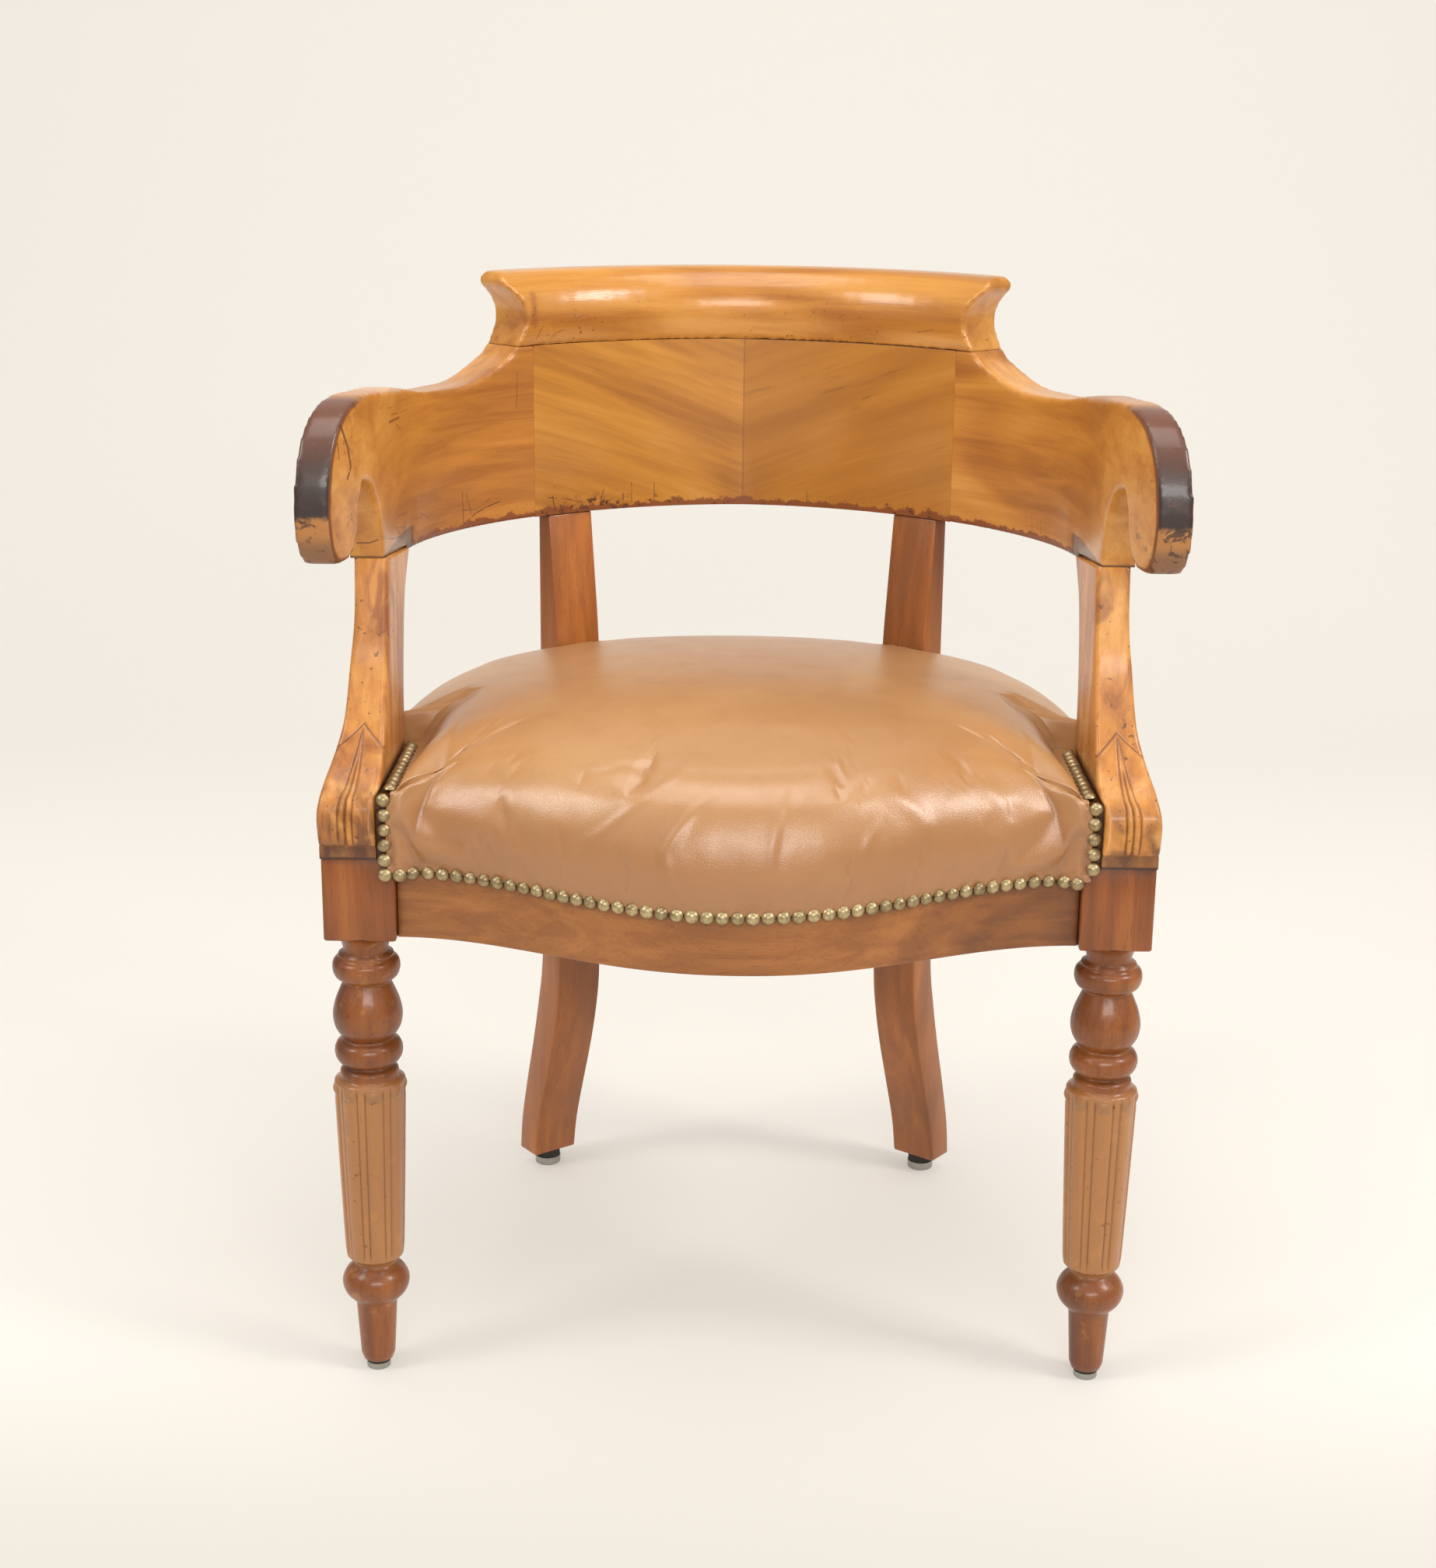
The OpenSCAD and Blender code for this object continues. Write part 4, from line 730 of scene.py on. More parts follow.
# %% Measure the turned outline
block_z = 0.342
rail_top = 0.403
foot_z = 0.0075
leg_tree = surface_of(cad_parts["front_leg_right"].data)
heights = [foot_z + 0.0003]
while heights[-1] < block_z - 0.0004:
    shaft = 0.104 < heights[-1] < 0.212
    heights.append(heights[-1] + (0.004 if shaft else 0.0011))
radii = []
for z in heights:
    hit = leg_tree.ray_cast(Vector((leg_x + 0.06, leg_y, z)), Vector((-1, 0, 0)))[0]
    radii.append(hit.x - leg_x if hit else radii[-1])
print("leg rings:", len(heights), "widest:", round(max(radii), 4))

# %% Carve the reeds
reed_low, reed_high, boss_z = 0.0905, 0.2315, 0.2245
# Degrees from the middle of a reed: points lie closest where the groove is.
sector = [-14.3, -12.5, -8, -4, 0, 4, 8, 12.5, 14.3, 15.2, 16.1, 17.2, 19.5, 22.5, 25.5, 27.8, 28.9, 29.8]


def reed_cut(turn, z, radius):
    """How deep the tool went, in metres, at an angle from a reed's middle, and how dark it is painted: shade
    in the grooves, and the dark boss.
    """
    turn = (turn + 22.5) % 45 - 22.5
    wide = abs(turn)
    groove = math.exp(-(((wide - 15.3) / 1.1) ** 2))
    strip = smoothstep(wide, 15.3, 17.0)
    ends = smoothstep(z, reed_low, reed_low + 0.009) * smoothstep(z, reed_high, reed_high - 0.006)
    cut = (0.0014 * groove + 0.0005 * strip - 0.0005 * (1 - (wide / 15) ** 2) * (wide < 15)) * ends
    across_by = math.radians(turn) * radius
    boss = math.exp(-((across_by / 0.0042) ** 2) - ((z - boss_z) / 0.0032) ** 2)
    rim = math.exp(-(((math.hypot(across_by / 0.006, (z - boss_z) / 0.0048) - 1) / 0.22) ** 2))
    # The darkness is painted shade in the grooves and in the ring round each boss, plus the boss's own dark
    # wood.
    dark = min(1.0, groove * ends * 0.7 + boss * 1.1 + rim * 0.5)
    return cut - 0.0011 * boss + 0.0005 * rim * ends, dark


def join_rings(name, rings, shades=None):
    """A closed skin over rings of points, all with the same count; shades give each point's darkness:
    painted shade in grooves, and dark bosses and joints.
    """
    count = len(rings[0])
    faces = [
        (i * count + k, i * count + (k + 1) % count, (i + 1) * count + (k + 1) % count, (i + 1) * count + k)
        for i in range(len(rings) - 1)
        for k in range(count)
    ]
    faces.append(tuple(reversed(range(count))))
    faces.append(tuple(range((len(rings) - 1) * count, len(rings) * count)))
    mesh = bpy.data.meshes.new(name)
    mesh.from_pydata([tuple(p) for ring in rings for p in ring], [], faces)
    if shades is not None:
        layer = mesh.attributes.new("dirt", "FLOAT", "POINT")
        layer.data.foreach_set("value", [v for row in shades for v in row])
    mesh.update()
    mesh.shade_smooth()
    return mesh


def turned_leg(side, first_reed):
    """One leg's turning; first_reed is the direction of a reed, in degrees."""
    rings, shades = [], []
    angles = [45 * i + a for i in range(8) for a in sector]
    for z, radius in zip(heights, radii):
        ring, row = [], []
        for angle in angles:
            cut, dark = reed_cut(angle, z, radius) if reed_low < z < reed_high else (0.0, 0.0)
            way = math.radians(angle + first_reed - 90)
            reach = radius - cut
            ring.append((side * leg_x + reach * math.cos(way), leg_y + reach * math.sin(way), z))
            row.append(dark)
        rings.append(ring)
        shades.append(row)
    return join_rings("leg", rings, shades)


def aged(finish, place, colour, rough, height):
    """Painted shade in the carving's grooves and the dark of its bosses, from the piece's own value; then a
    lighter shaft, stains, pale wear and nicks.
    """
    dirt = finish.node("ShaderNodeAttribute", {"attribute_name": "dirt"}, out="Fac")
    cloud = finish.noise(place, 48.0, 4.0, 0.65)
    # Painted shade in the grooves round the reeds and bosses, with the bosses' own dark.
    colour = finish.blend(dirt.ramp(0.1, 0.9) * 0.88, colour, tone(66, 36, 20))
    z = finish.parts(place)[2]
    shaft = z.ramp(0.236, 0.228) * z.ramp(0.082, 0.092)
    colour = finish.blend(shaft * 0.55, colour, tone(194, 138, 84))
    colour = finish.blend(cloud.ramp(0.55, 0.75) * (1.0 - shaft) * 0.45, colour, tone(104, 52, 22))
    wear = cloud.ramp(0.42, 0.3) * 0.4
    colour = finish.blend(wear, colour, tone(190, 128, 66))
    nick = finish.noise(place, 230.0, 2.0).ramp(0.68, 0.72) * 0.6
    colour = finish.blend(nick, colour, tone(84, 46, 26))
    return colour, rough, height


turned_wood = wood(
    "turned walnut", tone(160, 94, 36), tone(134, 72, 24), tone(96, 48, 16), upright_grain, pores=0.9,
    gloss=0.36, seed=7.0, extra=aged,
)
for side, name, first_reed in ((-1, "left", 15), (1, "right", -2.5)):
    turning = turned_leg(side, first_reed)
    worn["leg_" + name] = add_piece("turned_leg_" + name, turning, "leg_wood", turned_wood)
print("leg faces:", len(worn["leg_left"].data.polygons))

# %% [markdown]
# The square block above the turning is where both rails are tenoned in, so the wood there
# was left full. Its edges are only slightly eased.

# %% Shape the leg blocks
def arc(x, y, radius, start, step, count):
    """Points on a round corner, from a start angle on in even steps, in degrees."""
    ways = [math.radians(start + step * k) for k in range(count)]
    return [(x + radius * math.cos(way), y + radius * math.sin(way)) for way in ways]


def block_ring(side, z, inset):
    """A level of a leg block: a square with round corners about the leg's axis."""
    half_block, r = 0.02525, 0.0016
    reach = half_block - inset - r
    ring = []
    for sx, sy, start in ((1, 1, 0), (-1, 1, 90), (-1, -1, 180), (1, -1, 270)):
        ring += arc(side * leg_x + sx * reach, leg_y + sy * reach, r, start, 22.5, 5)
    return [(x, y, z) for x, y in ring]


sides = ((-1, "left"), (1, "right"))
block_levels = [
    (block_z, 0.0016), (block_z + 0.0005, 0.0006), (block_z + 0.0016, 0.0), (rail_top - 0.0012, 0.0),
    (rail_top - 0.0004, 0.0004), (rail_top - 0.0001, 0.001),
]
for side, name in sides:
    rings = [block_ring(side, z, inset) for z, inset in block_levels]
    mesh = join_rings("block", rings)
    mesh.set_sharp_from_angle(angle=math.radians(40))
    add_piece("leg_block_" + name, mesh, "leg_wood", leg_walnut, "front_leg_" + name)
print("leg blocks shaped")

# %% [markdown]
# The arm supports are the chair's carved pieces. Each rises from its leg block with a
# rolled nose, narrows to a stem, and carries a long leaf on its face, with two ribs that
# meet at the tip. The stem is lofted: at each height its section is a rectangle with round
# corners, and the front of the section is pushed in and out by the carving.

# %% Loft the arm supports
def through(points, value):
    """Height along a smooth curve through (place, value) points, sorted by place."""
    places = [p[0] for p in points]
    i = min(max(int(np.searchsorted(places, value)) - 1, 0), len(points) - 2)
    p = [points[max(i - 1, 0)], points[i], points[i + 1], points[min(i + 2, len(points) - 1)]]
    span = p[2][0] - p[1][0]
    t = min(max((value - p[1][0]) / span, 0.0), 1.0)
    lean_in = (p[2][1] - p[0][1]) / (p[2][0] - p[0][0]) * span
    lean_out = (p[3][1] - p[1][1]) / (p[3][0] - p[1][0]) * span
    return (
        p[1][1] * (2 * t**3 - 3 * t**2 + 1) + lean_in * (t**3 - 2 * t**2 + t)
        + p[2][1] * (3 * t**2 - 2 * t**3) + lean_out * (t**3 - t**2)
    )


# Millimetres above the floor, and millimetres behind the leg axes or out from the middle.
front_edge = [
    (412, -27.8), (414, -29.5), (416, -31.0), (419, -32.4), (430, -33.2), (442, -31), (452, -24),
    (465, -11), (484, 3), (505, 13), (535, 24), (565, 31), (600, 38.5),
]
rear_edge = [(403, 105), (432, 105), (450, 101), (478, 98), (520, 104), (562, 120), (588, 147)]
outer_edge = [
    (412, 287.3), (414, 287.3), (436, 288), (452, 285), (474, 278), (493, 273.6), (529, 270.6),
    (560, 268), (600, 268),
]
inner_edge = [(403, 248.3), (446, 248.3), (452, 245.6), (462, 244.5), (600, 244.5)]


def carving(x, z, middle, half):
    """How far the leaf stands out of a support's face, in millimetres, and how dark it is painted: shade in
    its grooves and along the leaf's edge.
    """
    u = (x - middle) / half
    tip = 490 - 15.5 * abs(u) ** 0.95
    leaf = 1.5 * smoothstep(z, tip + 0.4, tip - 0.9)
    line = math.exp(-(((z - tip - 0.6) / 0.8) ** 2))
    spread = 4.7 * min(max((489.5 - z) / 48, 0), 1) ** 0.85
    inside = smoothstep(z, tip, tip - 3) * smoothstep(z, 412.5, 415)
    cut = dark = 0.0
    for k in (-1, 0, 1):
        place = x - middle - k * spread * (1.06 if k > 0 else 1.0)
        groove = math.exp(-((place / 0.7) ** 2))
        if k == 0:
            groove *= smoothstep(z, 476, 460)
        cut = max(cut, 1.3 * groove)
        dark = max(dark, groove)
    ribs = 0.9 * math.exp(-(((abs(x - middle) - spread / 2) / 1.3) ** 2))
    # The darkness is painted shade in the grooves and in the line round the leaf.
    return leaf - 0.7 * line + (ribs - cut) * inside, max(line * 0.8, dark * inside * 0.62)


def evenly(first, last, parts):
    """The places that cut a straight line into equal parts, without its ends."""
    shares = [k / parts for k in range(1, parts)]
    return [(first[0] + (last[0] - first[0]) * s, first[1] + (last[1] - first[1]) * s) for s in shares]


def support_section(front, rear, inner, outer, near_r, far_r):
    """One level's outline, and for each of its points whether the carved face holds it."""
    near_y, far_y = front + near_r, rear - far_r
    left, right = inner + near_r, outer - near_r
    ring = [(left + (right - left) * k / 64, front) for k in range(65)]
    ring += arc(right, near_y, near_r, -72, 18, 5)
    ring += evenly((outer, near_y), (outer, far_y), 11)
    ring += arc(outer - far_r, far_y, far_r, 0, 30, 4)
    ring += evenly((outer - far_r, rear), (inner + far_r, rear), 5)
    ring += arc(inner + far_r, far_y, far_r, 90, 30, 4)
    ring += evenly((inner, far_y), (inner, near_y), 11)
    ring += arc(left, near_y, near_r, 198, 18, 5)
    return ring, [True] * 70 + [False] * (len(ring) - 75) + [True] * 5


def support_levels():
    """Close levels where the face is carved, wide ones up the stem."""
    levels = [403, 404, 407, 410, 411.4, 412, 412.6, 413.4]
    while levels[-1] < 499:
        levels.append(levels[-1] + 0.9)
    while levels[-1] < 597:
        levels.append(levels[-1] + 3.5)
    return levels + [600]


def support_rings(side):
    """A support's rings and how dark each of their points is."""
    rings, shades = [], []
    for level in support_levels():
        strip, joint = level < 412.3, 412.2 < level < 412.9
        front = -27.6 if strip else through(front_edge, level)
        outer = 287.6 if strip else through(outer_edge, level)
        if joint:
            front, outer = -26.6, 286.6
        rear_level = 403 + (level - 403) * (588 - 403) / (600 - 403)
        inner, rear = through(inner_edge, level), through(rear_edge, rear_level)
        middle, half = (inner + outer) / 2, (outer - inner) / 2
        near_r = 0.8 if strip else 1.2 + 2.2 * smoothstep(level, 412, 425)
        ring, carved = support_section(front, rear, inner, outer, near_r, 1.6)
        points, row = [], []
        for (x, y), on_face in zip(ring, carved):
            share = min(max((y - front) / (rear - front), 0.0), 1.0)
            z = level + (rear_level - level) * share
            dark = 1.0 if joint else 0.0
            if on_face and not strip:
                out, line = carving(x, level, middle, half)
                y -= out * (0.35 + 0.65 * smoothstep(abs(x - middle), half, half - 1.2))
                dark = max(dark, line)
            points.append((side * x / 1000, y / 1000 + leg_y, z / 1000))
            row.append(dark)
        rings.append(points if side > 0 else points[::-1])
        shades.append(row if side > 0 else row[::-1])
    return rings, shades


def support_marks(finish, place, colour, rough, height):
    """Dark stains, a pale bloom, painted shade in the carving's grooves, a dark joint, and dirt along the
    lower strip.
    """
    x, y, z = finish.parts(place)
    flow = finish.noise(finish.join(x * 34.0, y * 34.0, z * 9.0), 1.0, 4.0, 0.55, 1.6)
    stain = flow.ramp(0.52, 0.68) * z.ramp(0.47, 0.53) * 0.6
    colour = finish.blend(stain, colour, tone(126, 60, 26))
    nose = flow.ramp(0.42, 0.6) * z.ramp(0.462, 0.43) * 0.7
    colour = finish.blend(nose, colour, tone(84, 42, 22))
    gold = finish.noise(place, 40.0, 3.0).ramp(0.55, 0.7) * 0.5
    colour = finish.blend(gold, colour, tone(222, 166, 92))
    dirt = finish.node("ShaderNodeAttribute", {"attribute_name": "dirt"}, out="Fac")
    # Painted shade in the carving's grooves and round the leaf, and the dark joint above the lower strip.
    colour = finish.blend(dirt.ramp(0.1, 0.9) * 0.85, colour, tone(78, 44, 22))
    strip = z.ramp(0.4125, 0.4115) * 0.55 + z.ramp(0.405, 0.404) * 0.4
    colour = finish.blend(strip, colour, tone(70, 34, 20))
    nick = finish.noise(place, 210.0, 2.0).ramp(0.67, 0.71) * 0.7
    colour = finish.blend(nick, colour, tone(84, 46, 24))
    return colour, rough, height - nick * 0.5


support_wood = wood(
    "support hardwood", tone(224, 162, 84), tone(202, 132, 58), tone(146, 82, 34), upright_grain, pores=0.35,
    gloss=0.37, seed=4.0, extra=support_marks,
)
for side, name in sides:
    rings, shades = support_rings(side)
    mesh = join_rings("support", rings, shades)
    add_piece("carved_support_" + name, mesh, "support_wood", support_wood, "arm_support_" + name)
print("support points:", len(rings) * len(rings[0]))

# %% [markdown]
# Beside the seat each support has a plain tongue that the leather is nailed to. Only its
# top edge shows, under the nails.

# %% Add the tacking tongues
inner, outer, front, rear = 0.23275, 0.2487, leg_y - 0.02375, leg_y + 0.105
snip = 0.006
outline = [(inner, front + snip), (inner + snip, front), (outer, front), (outer, rear), (inner, rear)]
for side, name in sides:
    rings = []
    for z in (rail_top, rail_top + 0.02, rail_top + 0.0448, rail_top + 0.0455):
        rings.append([(side * x, y, z) for x, y in (outline if side > 0 else outline[::-1])])
    mesh = join_rings("tongue", rings)
    mesh.set_sharp_from_angle(angle=math.radians(30))
    add_piece("tacking_tongue_" + name, mesh, "support_wood", leg_walnut)
print("tongues added")

# %% [markdown]
# The seat is a stuffed pad under one hide. Its shape starts from the same plan as the
# solid: the leather's edge runs along the bowed rail, steps up over the leg blocks, lies on
# the tongues, and goes round the side and back rails. From the crown, rings run outwards
# and down to that edge. The rings are then let swell as cloth under pressure, with the
# edge pinned as the nails pin it. A little too much leather is what makes the puckers.

# %% Draw the leather's edge
# Millimetres from the middle of the chair, from the front leg axes and above the floor.
block_in, rail_y = 236.75, -17.25
cover = 2.1
crown_y, crown_z, rings_y = 152.0, 501.0, 178.0
frame_a, frame_y, frame_b = 257.5, 50.0, 276.5 / math.sqrt(1 - (140 / 257.5) ** 2)
# Rings of the hide on four kinds of edge: on a rail, on a tongue, at a corner or a post, and
# at a tongue's front. Each ring has its share of the way out and its share of the height.
near_rings = [(0.3, 1), (0.55, 1), (0.74, 1)]
ring_forms = [
    near_rings + [(0.87, 1), (0.945, 0.85), (0.99, 0.6), (1.012, 0.32), (1, 0.045), (1, 0)],
    near_rings + [(0.83, 0.95), (0.89, 0.76), (0.93, 0.42), (0.955, 0.08), (0.967, 0), (1, 0)],
    near_rings + [(0.87, 1), (0.945, 0.95), (0.985, 0.89), (0.999, 0.68), (1, 0.3), (1, 0)],
    near_rings + [(0.86, 0.99), (0.92, 0.88), (0.957, 0.64), (0.977, 0.28), (0.985, 0.02), (1, 0)],
]


def rail_front(x):
    """How far forward the bowed front rail's face is."""
    return rail_y - 69 * (0.5 + 0.5 * math.cos(math.pi * min(abs(x) / block_in, 1) ** 1.1))


def hem_height(x):
    """How high the leather's edge runs along the front rail."""
    return 393 - 7 * (0.5 + 0.5 * math.cos(math.pi * min(abs(x) / block_in, 1)))


def at_rail(t, grow):
    """A place along the round side and back rails, at an angle from the middle of the back."""
    way = math.radians(t)
    return (frame_a + grow) * math.sin(way), frame_y + (frame_b + grow) * math.cos(way)


def at_post(along):
    """A place along the rear post's front, at a distance from its middle."""
    turn = math.radians(37)
    out = -16.5 - cover
    x = 140 - along * math.cos(turn) + out * math.sin(turn)
    return x, 326.5 + along * math.sin(turn) + out * math.cos(turn)


face_y, column_x, side_x, flap_z = -25.25 - cover, 242.95, 239.2, 448.5 + cover
grow = 12.5 + cover + 0.4
stations = [(x, rail_front(x) - cover, hem_height(x), 0) for x in np.linspace(0, 219.5, 56)]
stations += [(233.25, face_y, 393, 2), (column_x - 1.2, face_y, 393, 2)]
stations += [(side_x - 1.2, face_y + 0.4, flap_z, 3), (side_x - 1.2, face_y + 6, flap_z, 3)]
stations += [(side_x - 1.2, y, flap_z, 1) for y in (38, 66, 98)]
stations += [(244.25, 107.5, flap_z, 1), (*at_rail(79.6, grow), 404, 2)]
stations += [(*at_rail(t, grow), 393, 0) for t in np.linspace(79, 38.4, 42)]
stations += [(*at_rail(38.2, grow), 404, 2), (*at_post(-20.5), 404, 2), (*at_post(20.5), 404, 2)]
stations += [(*at_rail(28.2, grow), 404, 2)]
stations += [(*at_rail(t, grow), 393, 0) for t in np.linspace(28, 0, 30)]


def spaced(points, step):
    """Adds points so that none is further than a step from the next; kinds blend between."""
    full = []
    for first, last in zip(points[:-1], points[1:]):
        parts = max(1, math.ceil(math.dist(first[:3], last[:3]) / step))
        for k in range(parts):
            t = k / parts
            place = [first[i] + (last[i] - first[i]) * t for i in range(3)]
            weights = [0.0] * len(ring_forms)
            weights[first[3]] += 1 - t
            weights[last[3]] += t
            full.append((*place, weights))
    weights = [0.0] * len(ring_forms)
    weights[points[-1][3]] = 1.0
    return full + [(*points[-1][:3], weights)]


half_hem = spaced(stations, 4.2)
hem = half_hem + [(-x, y, z, w) for x, y, z, w in reversed(half_hem[1:-1])]
hem_plan = np.array([p[:2] for p in hem])
smoothing_passes = 260
for _ in range(smoothing_passes):
    hem_plan = hem_plan / 2 + (np.roll(hem_plan, 1, axis=0) + np.roll(hem_plan, -1, axis=0)) / 4
print("hem points:", len(hem))

# %% Raise the crown over it
def dome(x, y):
    """The seat's height at a place, from its crown down to the edge."""
    deep = 246 if y < crown_y else 232
    reach = ((abs(x) / 286) ** 2.1 + (abs(y - crown_y) / deep) ** 2.1) ** (1 / 2.1)
    return 384 + (crown_z - 384) * (1 - min(reach, 0.99) ** 2) ** 0.224


def ring_form(weights, place):
    """A ring's share of the way out and its share of the height, between two listed rings."""
    i = min(int(place), 7)
    t = place - i
    inmost = (0.05, 1)
    form = []
    for part in range(2):
        value = 0.0
        for kind, weight in enumerate(weights):
            if weight > 0:
                p = [ring_forms[kind][min(max(i + d, 0), 8)][part] for d in (-1, 0, 1, 2)]
                if i == 0:
                    p[0] = inmost[part]
                value += weight * 0.5 * (
                    2 * p[1] + (p[2] - p[0]) * t + (2 * p[0] - 5 * p[1] + 4 * p[2] - p[3]) * t * t
                    + (3 * p[1] - p[0] - 3 * p[2] + p[3]) * t**3
                )
        form.append(value)
    return form


def hem_point(place):
    """The leather's edge at a fractional place along its points."""
    i = int(place) % len(hem)
    t = place - int(place)
    first, last = hem[i], hem[(i + 1) % len(hem)]
    plan = [first[k] + (last[k] - first[k]) * t for k in range(3)]
    return (*plan, [a + (b - a) * t for a, b in zip(first[3], last[3])])


def cover_ring(place, share, count):
    """A ring of the hide's points, evenly spread near the middle. The nails hold the hide flat on
    the tongues, so it gets no room to swell there."""
    ring = []
    for k in range(count):
        along = k * len(hem) / count
        x, y, z, weights = hem_point(along)
        out, lift, shoulder = share, 1.0, share
        if place is not None:
            out, lift = ring_form(weights, place)
            shoulder = min(out, sum(w * form[3][0] for w, form in zip(weights, ring_forms)))
        even = smoothstep(out, 0.87, 0.6)
        first, last = hem_plan[int(along)], hem_plan[(int(along) + 1) % len(hem)]
        x, y = (x, y) + (first + (last - first) * (along - int(along)) - (x, y)) * even
        height = z + (dome(x * shoulder, rings_y + (y - rings_y) * shoulder) - z) * lift
        ring.append((x * out / 1000, (rings_y + (y - rings_y) * out) / 1000 + leg_y, height / 1000))
        flat = (weights[1] + weights[3]) * smoothstep(place or 0, 4.6, 6.0)
        room.append(swell * (1 - flat) * smoothstep(out, -0.1, 0.75))
    return ring


def joined_faces(rings):
    """Triangles and quads between rings whose counts differ, from the inside outwards."""
    faces, start = [], [0]
    for ring in rings:
        start.append(start[-1] + len(ring))
    for j in range(len(rings) - 1):
        a, b = len(rings[j]), len(rings[j + 1])
        if a == b:
            for k in range(a):
                n = (k + 1) % a
                faces.append((start[j] + k, start[j + 1] + k, start[j + 1] + n, start[j] + n))
            continue
        i = k = 0
        while i < a or k < b:
            if k < b and (i >= a or (k + 1) / b <= (i + 1) / a + 1e-9):
                faces.append((start[j] + i % a, start[j + 1] + k, start[j + 1] + (k + 1) % b))
                k += 1
            else:
                faces.append((start[j] + i, start[j + 1] + k % b, start[j] + (i + 1) % a))
                i += 1
    return faces


full = len(hem)
# The share of the way out from which every ring has as many points as the edge.
full_share = 0.72
# How far a point may swell when the hide settles, in metres, and each point's own room.
swell = 0.003
room = []
shares = [0.012, 0.03, 0.05, 0.075, 0.1, 0.125, 0.15, 0.175, 0.2, 0.225, 0.25, 0.275]
rings = [cover_ring(None, share, max(6, round(full * share / full_share))) for share in shares]
for place in list(np.linspace(0, 2, 18))[:-1]:
    share = 0.3 + 0.44 * place / 2
    rings.append(cover_ring(place, share, min(full, round(full * share / full_share))))
rings += [cover_ring(place, 0, full) for place in np.linspace(2, 8, 32)]
cover_points = [p for ring in rings for p in ring]
cover_faces = [tuple(range(len(rings[0])))] + joined_faces(rings)
cover_mesh = bpy.data.meshes.new("leather")
cover_mesh.from_pydata(cover_points, [], cover_faces)
cover_mesh.update()
cover_mesh.shade_smooth()
print("leather points:", len(cover_mesh.vertices), "rings:", len(rings))

# %% [markdown]
# Blender's cloth then does what stuffing does. The skin is pushed from inside, its edge is
# held, and it wants to be a little wider than it is, so it has to pucker where the curve is
# tightest. Each point has its own limit, so the seat keeps its measured shape and the hide
# stays flat under the tongues' nails.

# %% Let the leather settle
def settle(piece, held, limits, pressure, slack, steps):
    """Runs a piece as cloth and says how far its points wanted to go, on average and at most."""
    start = np.array([v.co for v in piece.data.vertices])
    group = piece.vertex_groups.new(name="held")
    group.add(held, 1.0, "REPLACE")
    cloth = piece.modifiers.new("cloth", "CLOTH")
    setup = cloth.settings
    setup.quality = 5
    setup.mass = 0.4
    setup.tension_stiffness = setup.compression_stiffness = 25
    setup.shear_stiffness = 12
    setup.bending_stiffness = 2.5
    setup.use_pressure = True
    setup.uniform_pressure_force = pressure
    setup.shrink_min = -slack
    setup.vertex_group_mass = "held"
    setup.effector_weights.gravity = 0
    cloth.collision_settings.use_collision = False
    scene = bpy.context.scene
    for step in range(1, steps + 1):
        scene.frame_set(step)
    shaped = piece.evaluated_get(bpy.context.evaluated_depsgraph_get())
    moved = np.array([v.co for v in shaped.data.vertices]) - start
    far = np.linalg.norm(moved, axis=1, keepdims=True)
    moved *= np.minimum(1.0, np.array(limits)[:, None] / np.maximum(far, 1e-9))
    piece.modifiers.remove(cloth)
    piece.vertex_groups.remove(group)
    scene.frame_set(1)
    piece.data.vertices.foreach_set("co", (start + moved).ravel())
    piece.data.update()
    return float(far.mean()), float(far.max())


leather_piece = placed("seat_leather", cover_mesh)
edge_points = list(range(len(cover_mesh.vertices) - 2 * full, len(cover_mesh.vertices)))
print("cloth moved by:", settle(leather_piece, edge_points, room, 1.2, 0.006, 20))

# %% [markdown]
# A real seat has its own puckers, where the hide was pulled and nailed. The longest ones
# on this chair run up from the nails at the front. They are drawn as strokes over the
# picture's view and pressed into the skin along its own direction, after one subdivision.

# %% Press in the puckers
def seen_at(point):
    """Where the camera sees a point, in the picture's pixels."""
    eye = camera.matrix_world.inverted() @ Vector(point)
    u = picture_wide / 2 - eye.x / eye.z * picture_scale
    return u, picture_high / 2 + eye.y / eye.z * picture_scale


# Points along each pucker, its width in pixels, and its height in millimetres.
strokes = [
    ([(912, 1020), (880, 1058), (854, 1097), (858, 1125), (868, 1155)], 7.0, 1.5),
    ([(1002, 1047), (993, 1095), (990, 1147)], 8.0, 1.3),
    ([(1027, 986), (1010, 1060), (992, 1147)], 9.0, -1.0),
    ([(1126, 1060), (1118, 1080), (1112, 1100)], 7.0, 1.2),
    ([(705, 1108), (770, 1072), (838, 1020), (903, 972)], 6.0, 0.7),
    ([(740, 1000), (800, 985), (872, 988)], 5.0, -0.6),
    ([(507, 1048), (545, 1025), (581, 998)], 8.0, 0.9),
    ([(1398, 1041), (1360, 1022), (1324, 1010)], 8.0, 0.9),
    ([(1243, 850), (1300, 884), (1349, 924)], 6.0, 0.5),
    ([(520, 1075), (560, 1085), (610, 1080)], 9.0, -0.9),
    ([(1130, 1010), (1180, 1045), (1210, 1100)], 12.0, 1.0),
    ([(1255, 990), (1290, 1040), (1300, 1095)], 12.0, 0.9),
    ([(660, 1020), (650, 1070), (668, 1120)], 12.0, 0.8),
]
shape = bmesh.new()
shape.from_mesh(leather_piece.data)
bmesh.ops.subdivide_edges(shape, edges=shape.edges, cuts=1, use_grid_fill=True, smooth=0.6)
shape.normal_update()
strokes = [(np.array(path, dtype=float), width, height) for path, width, height in strokes]


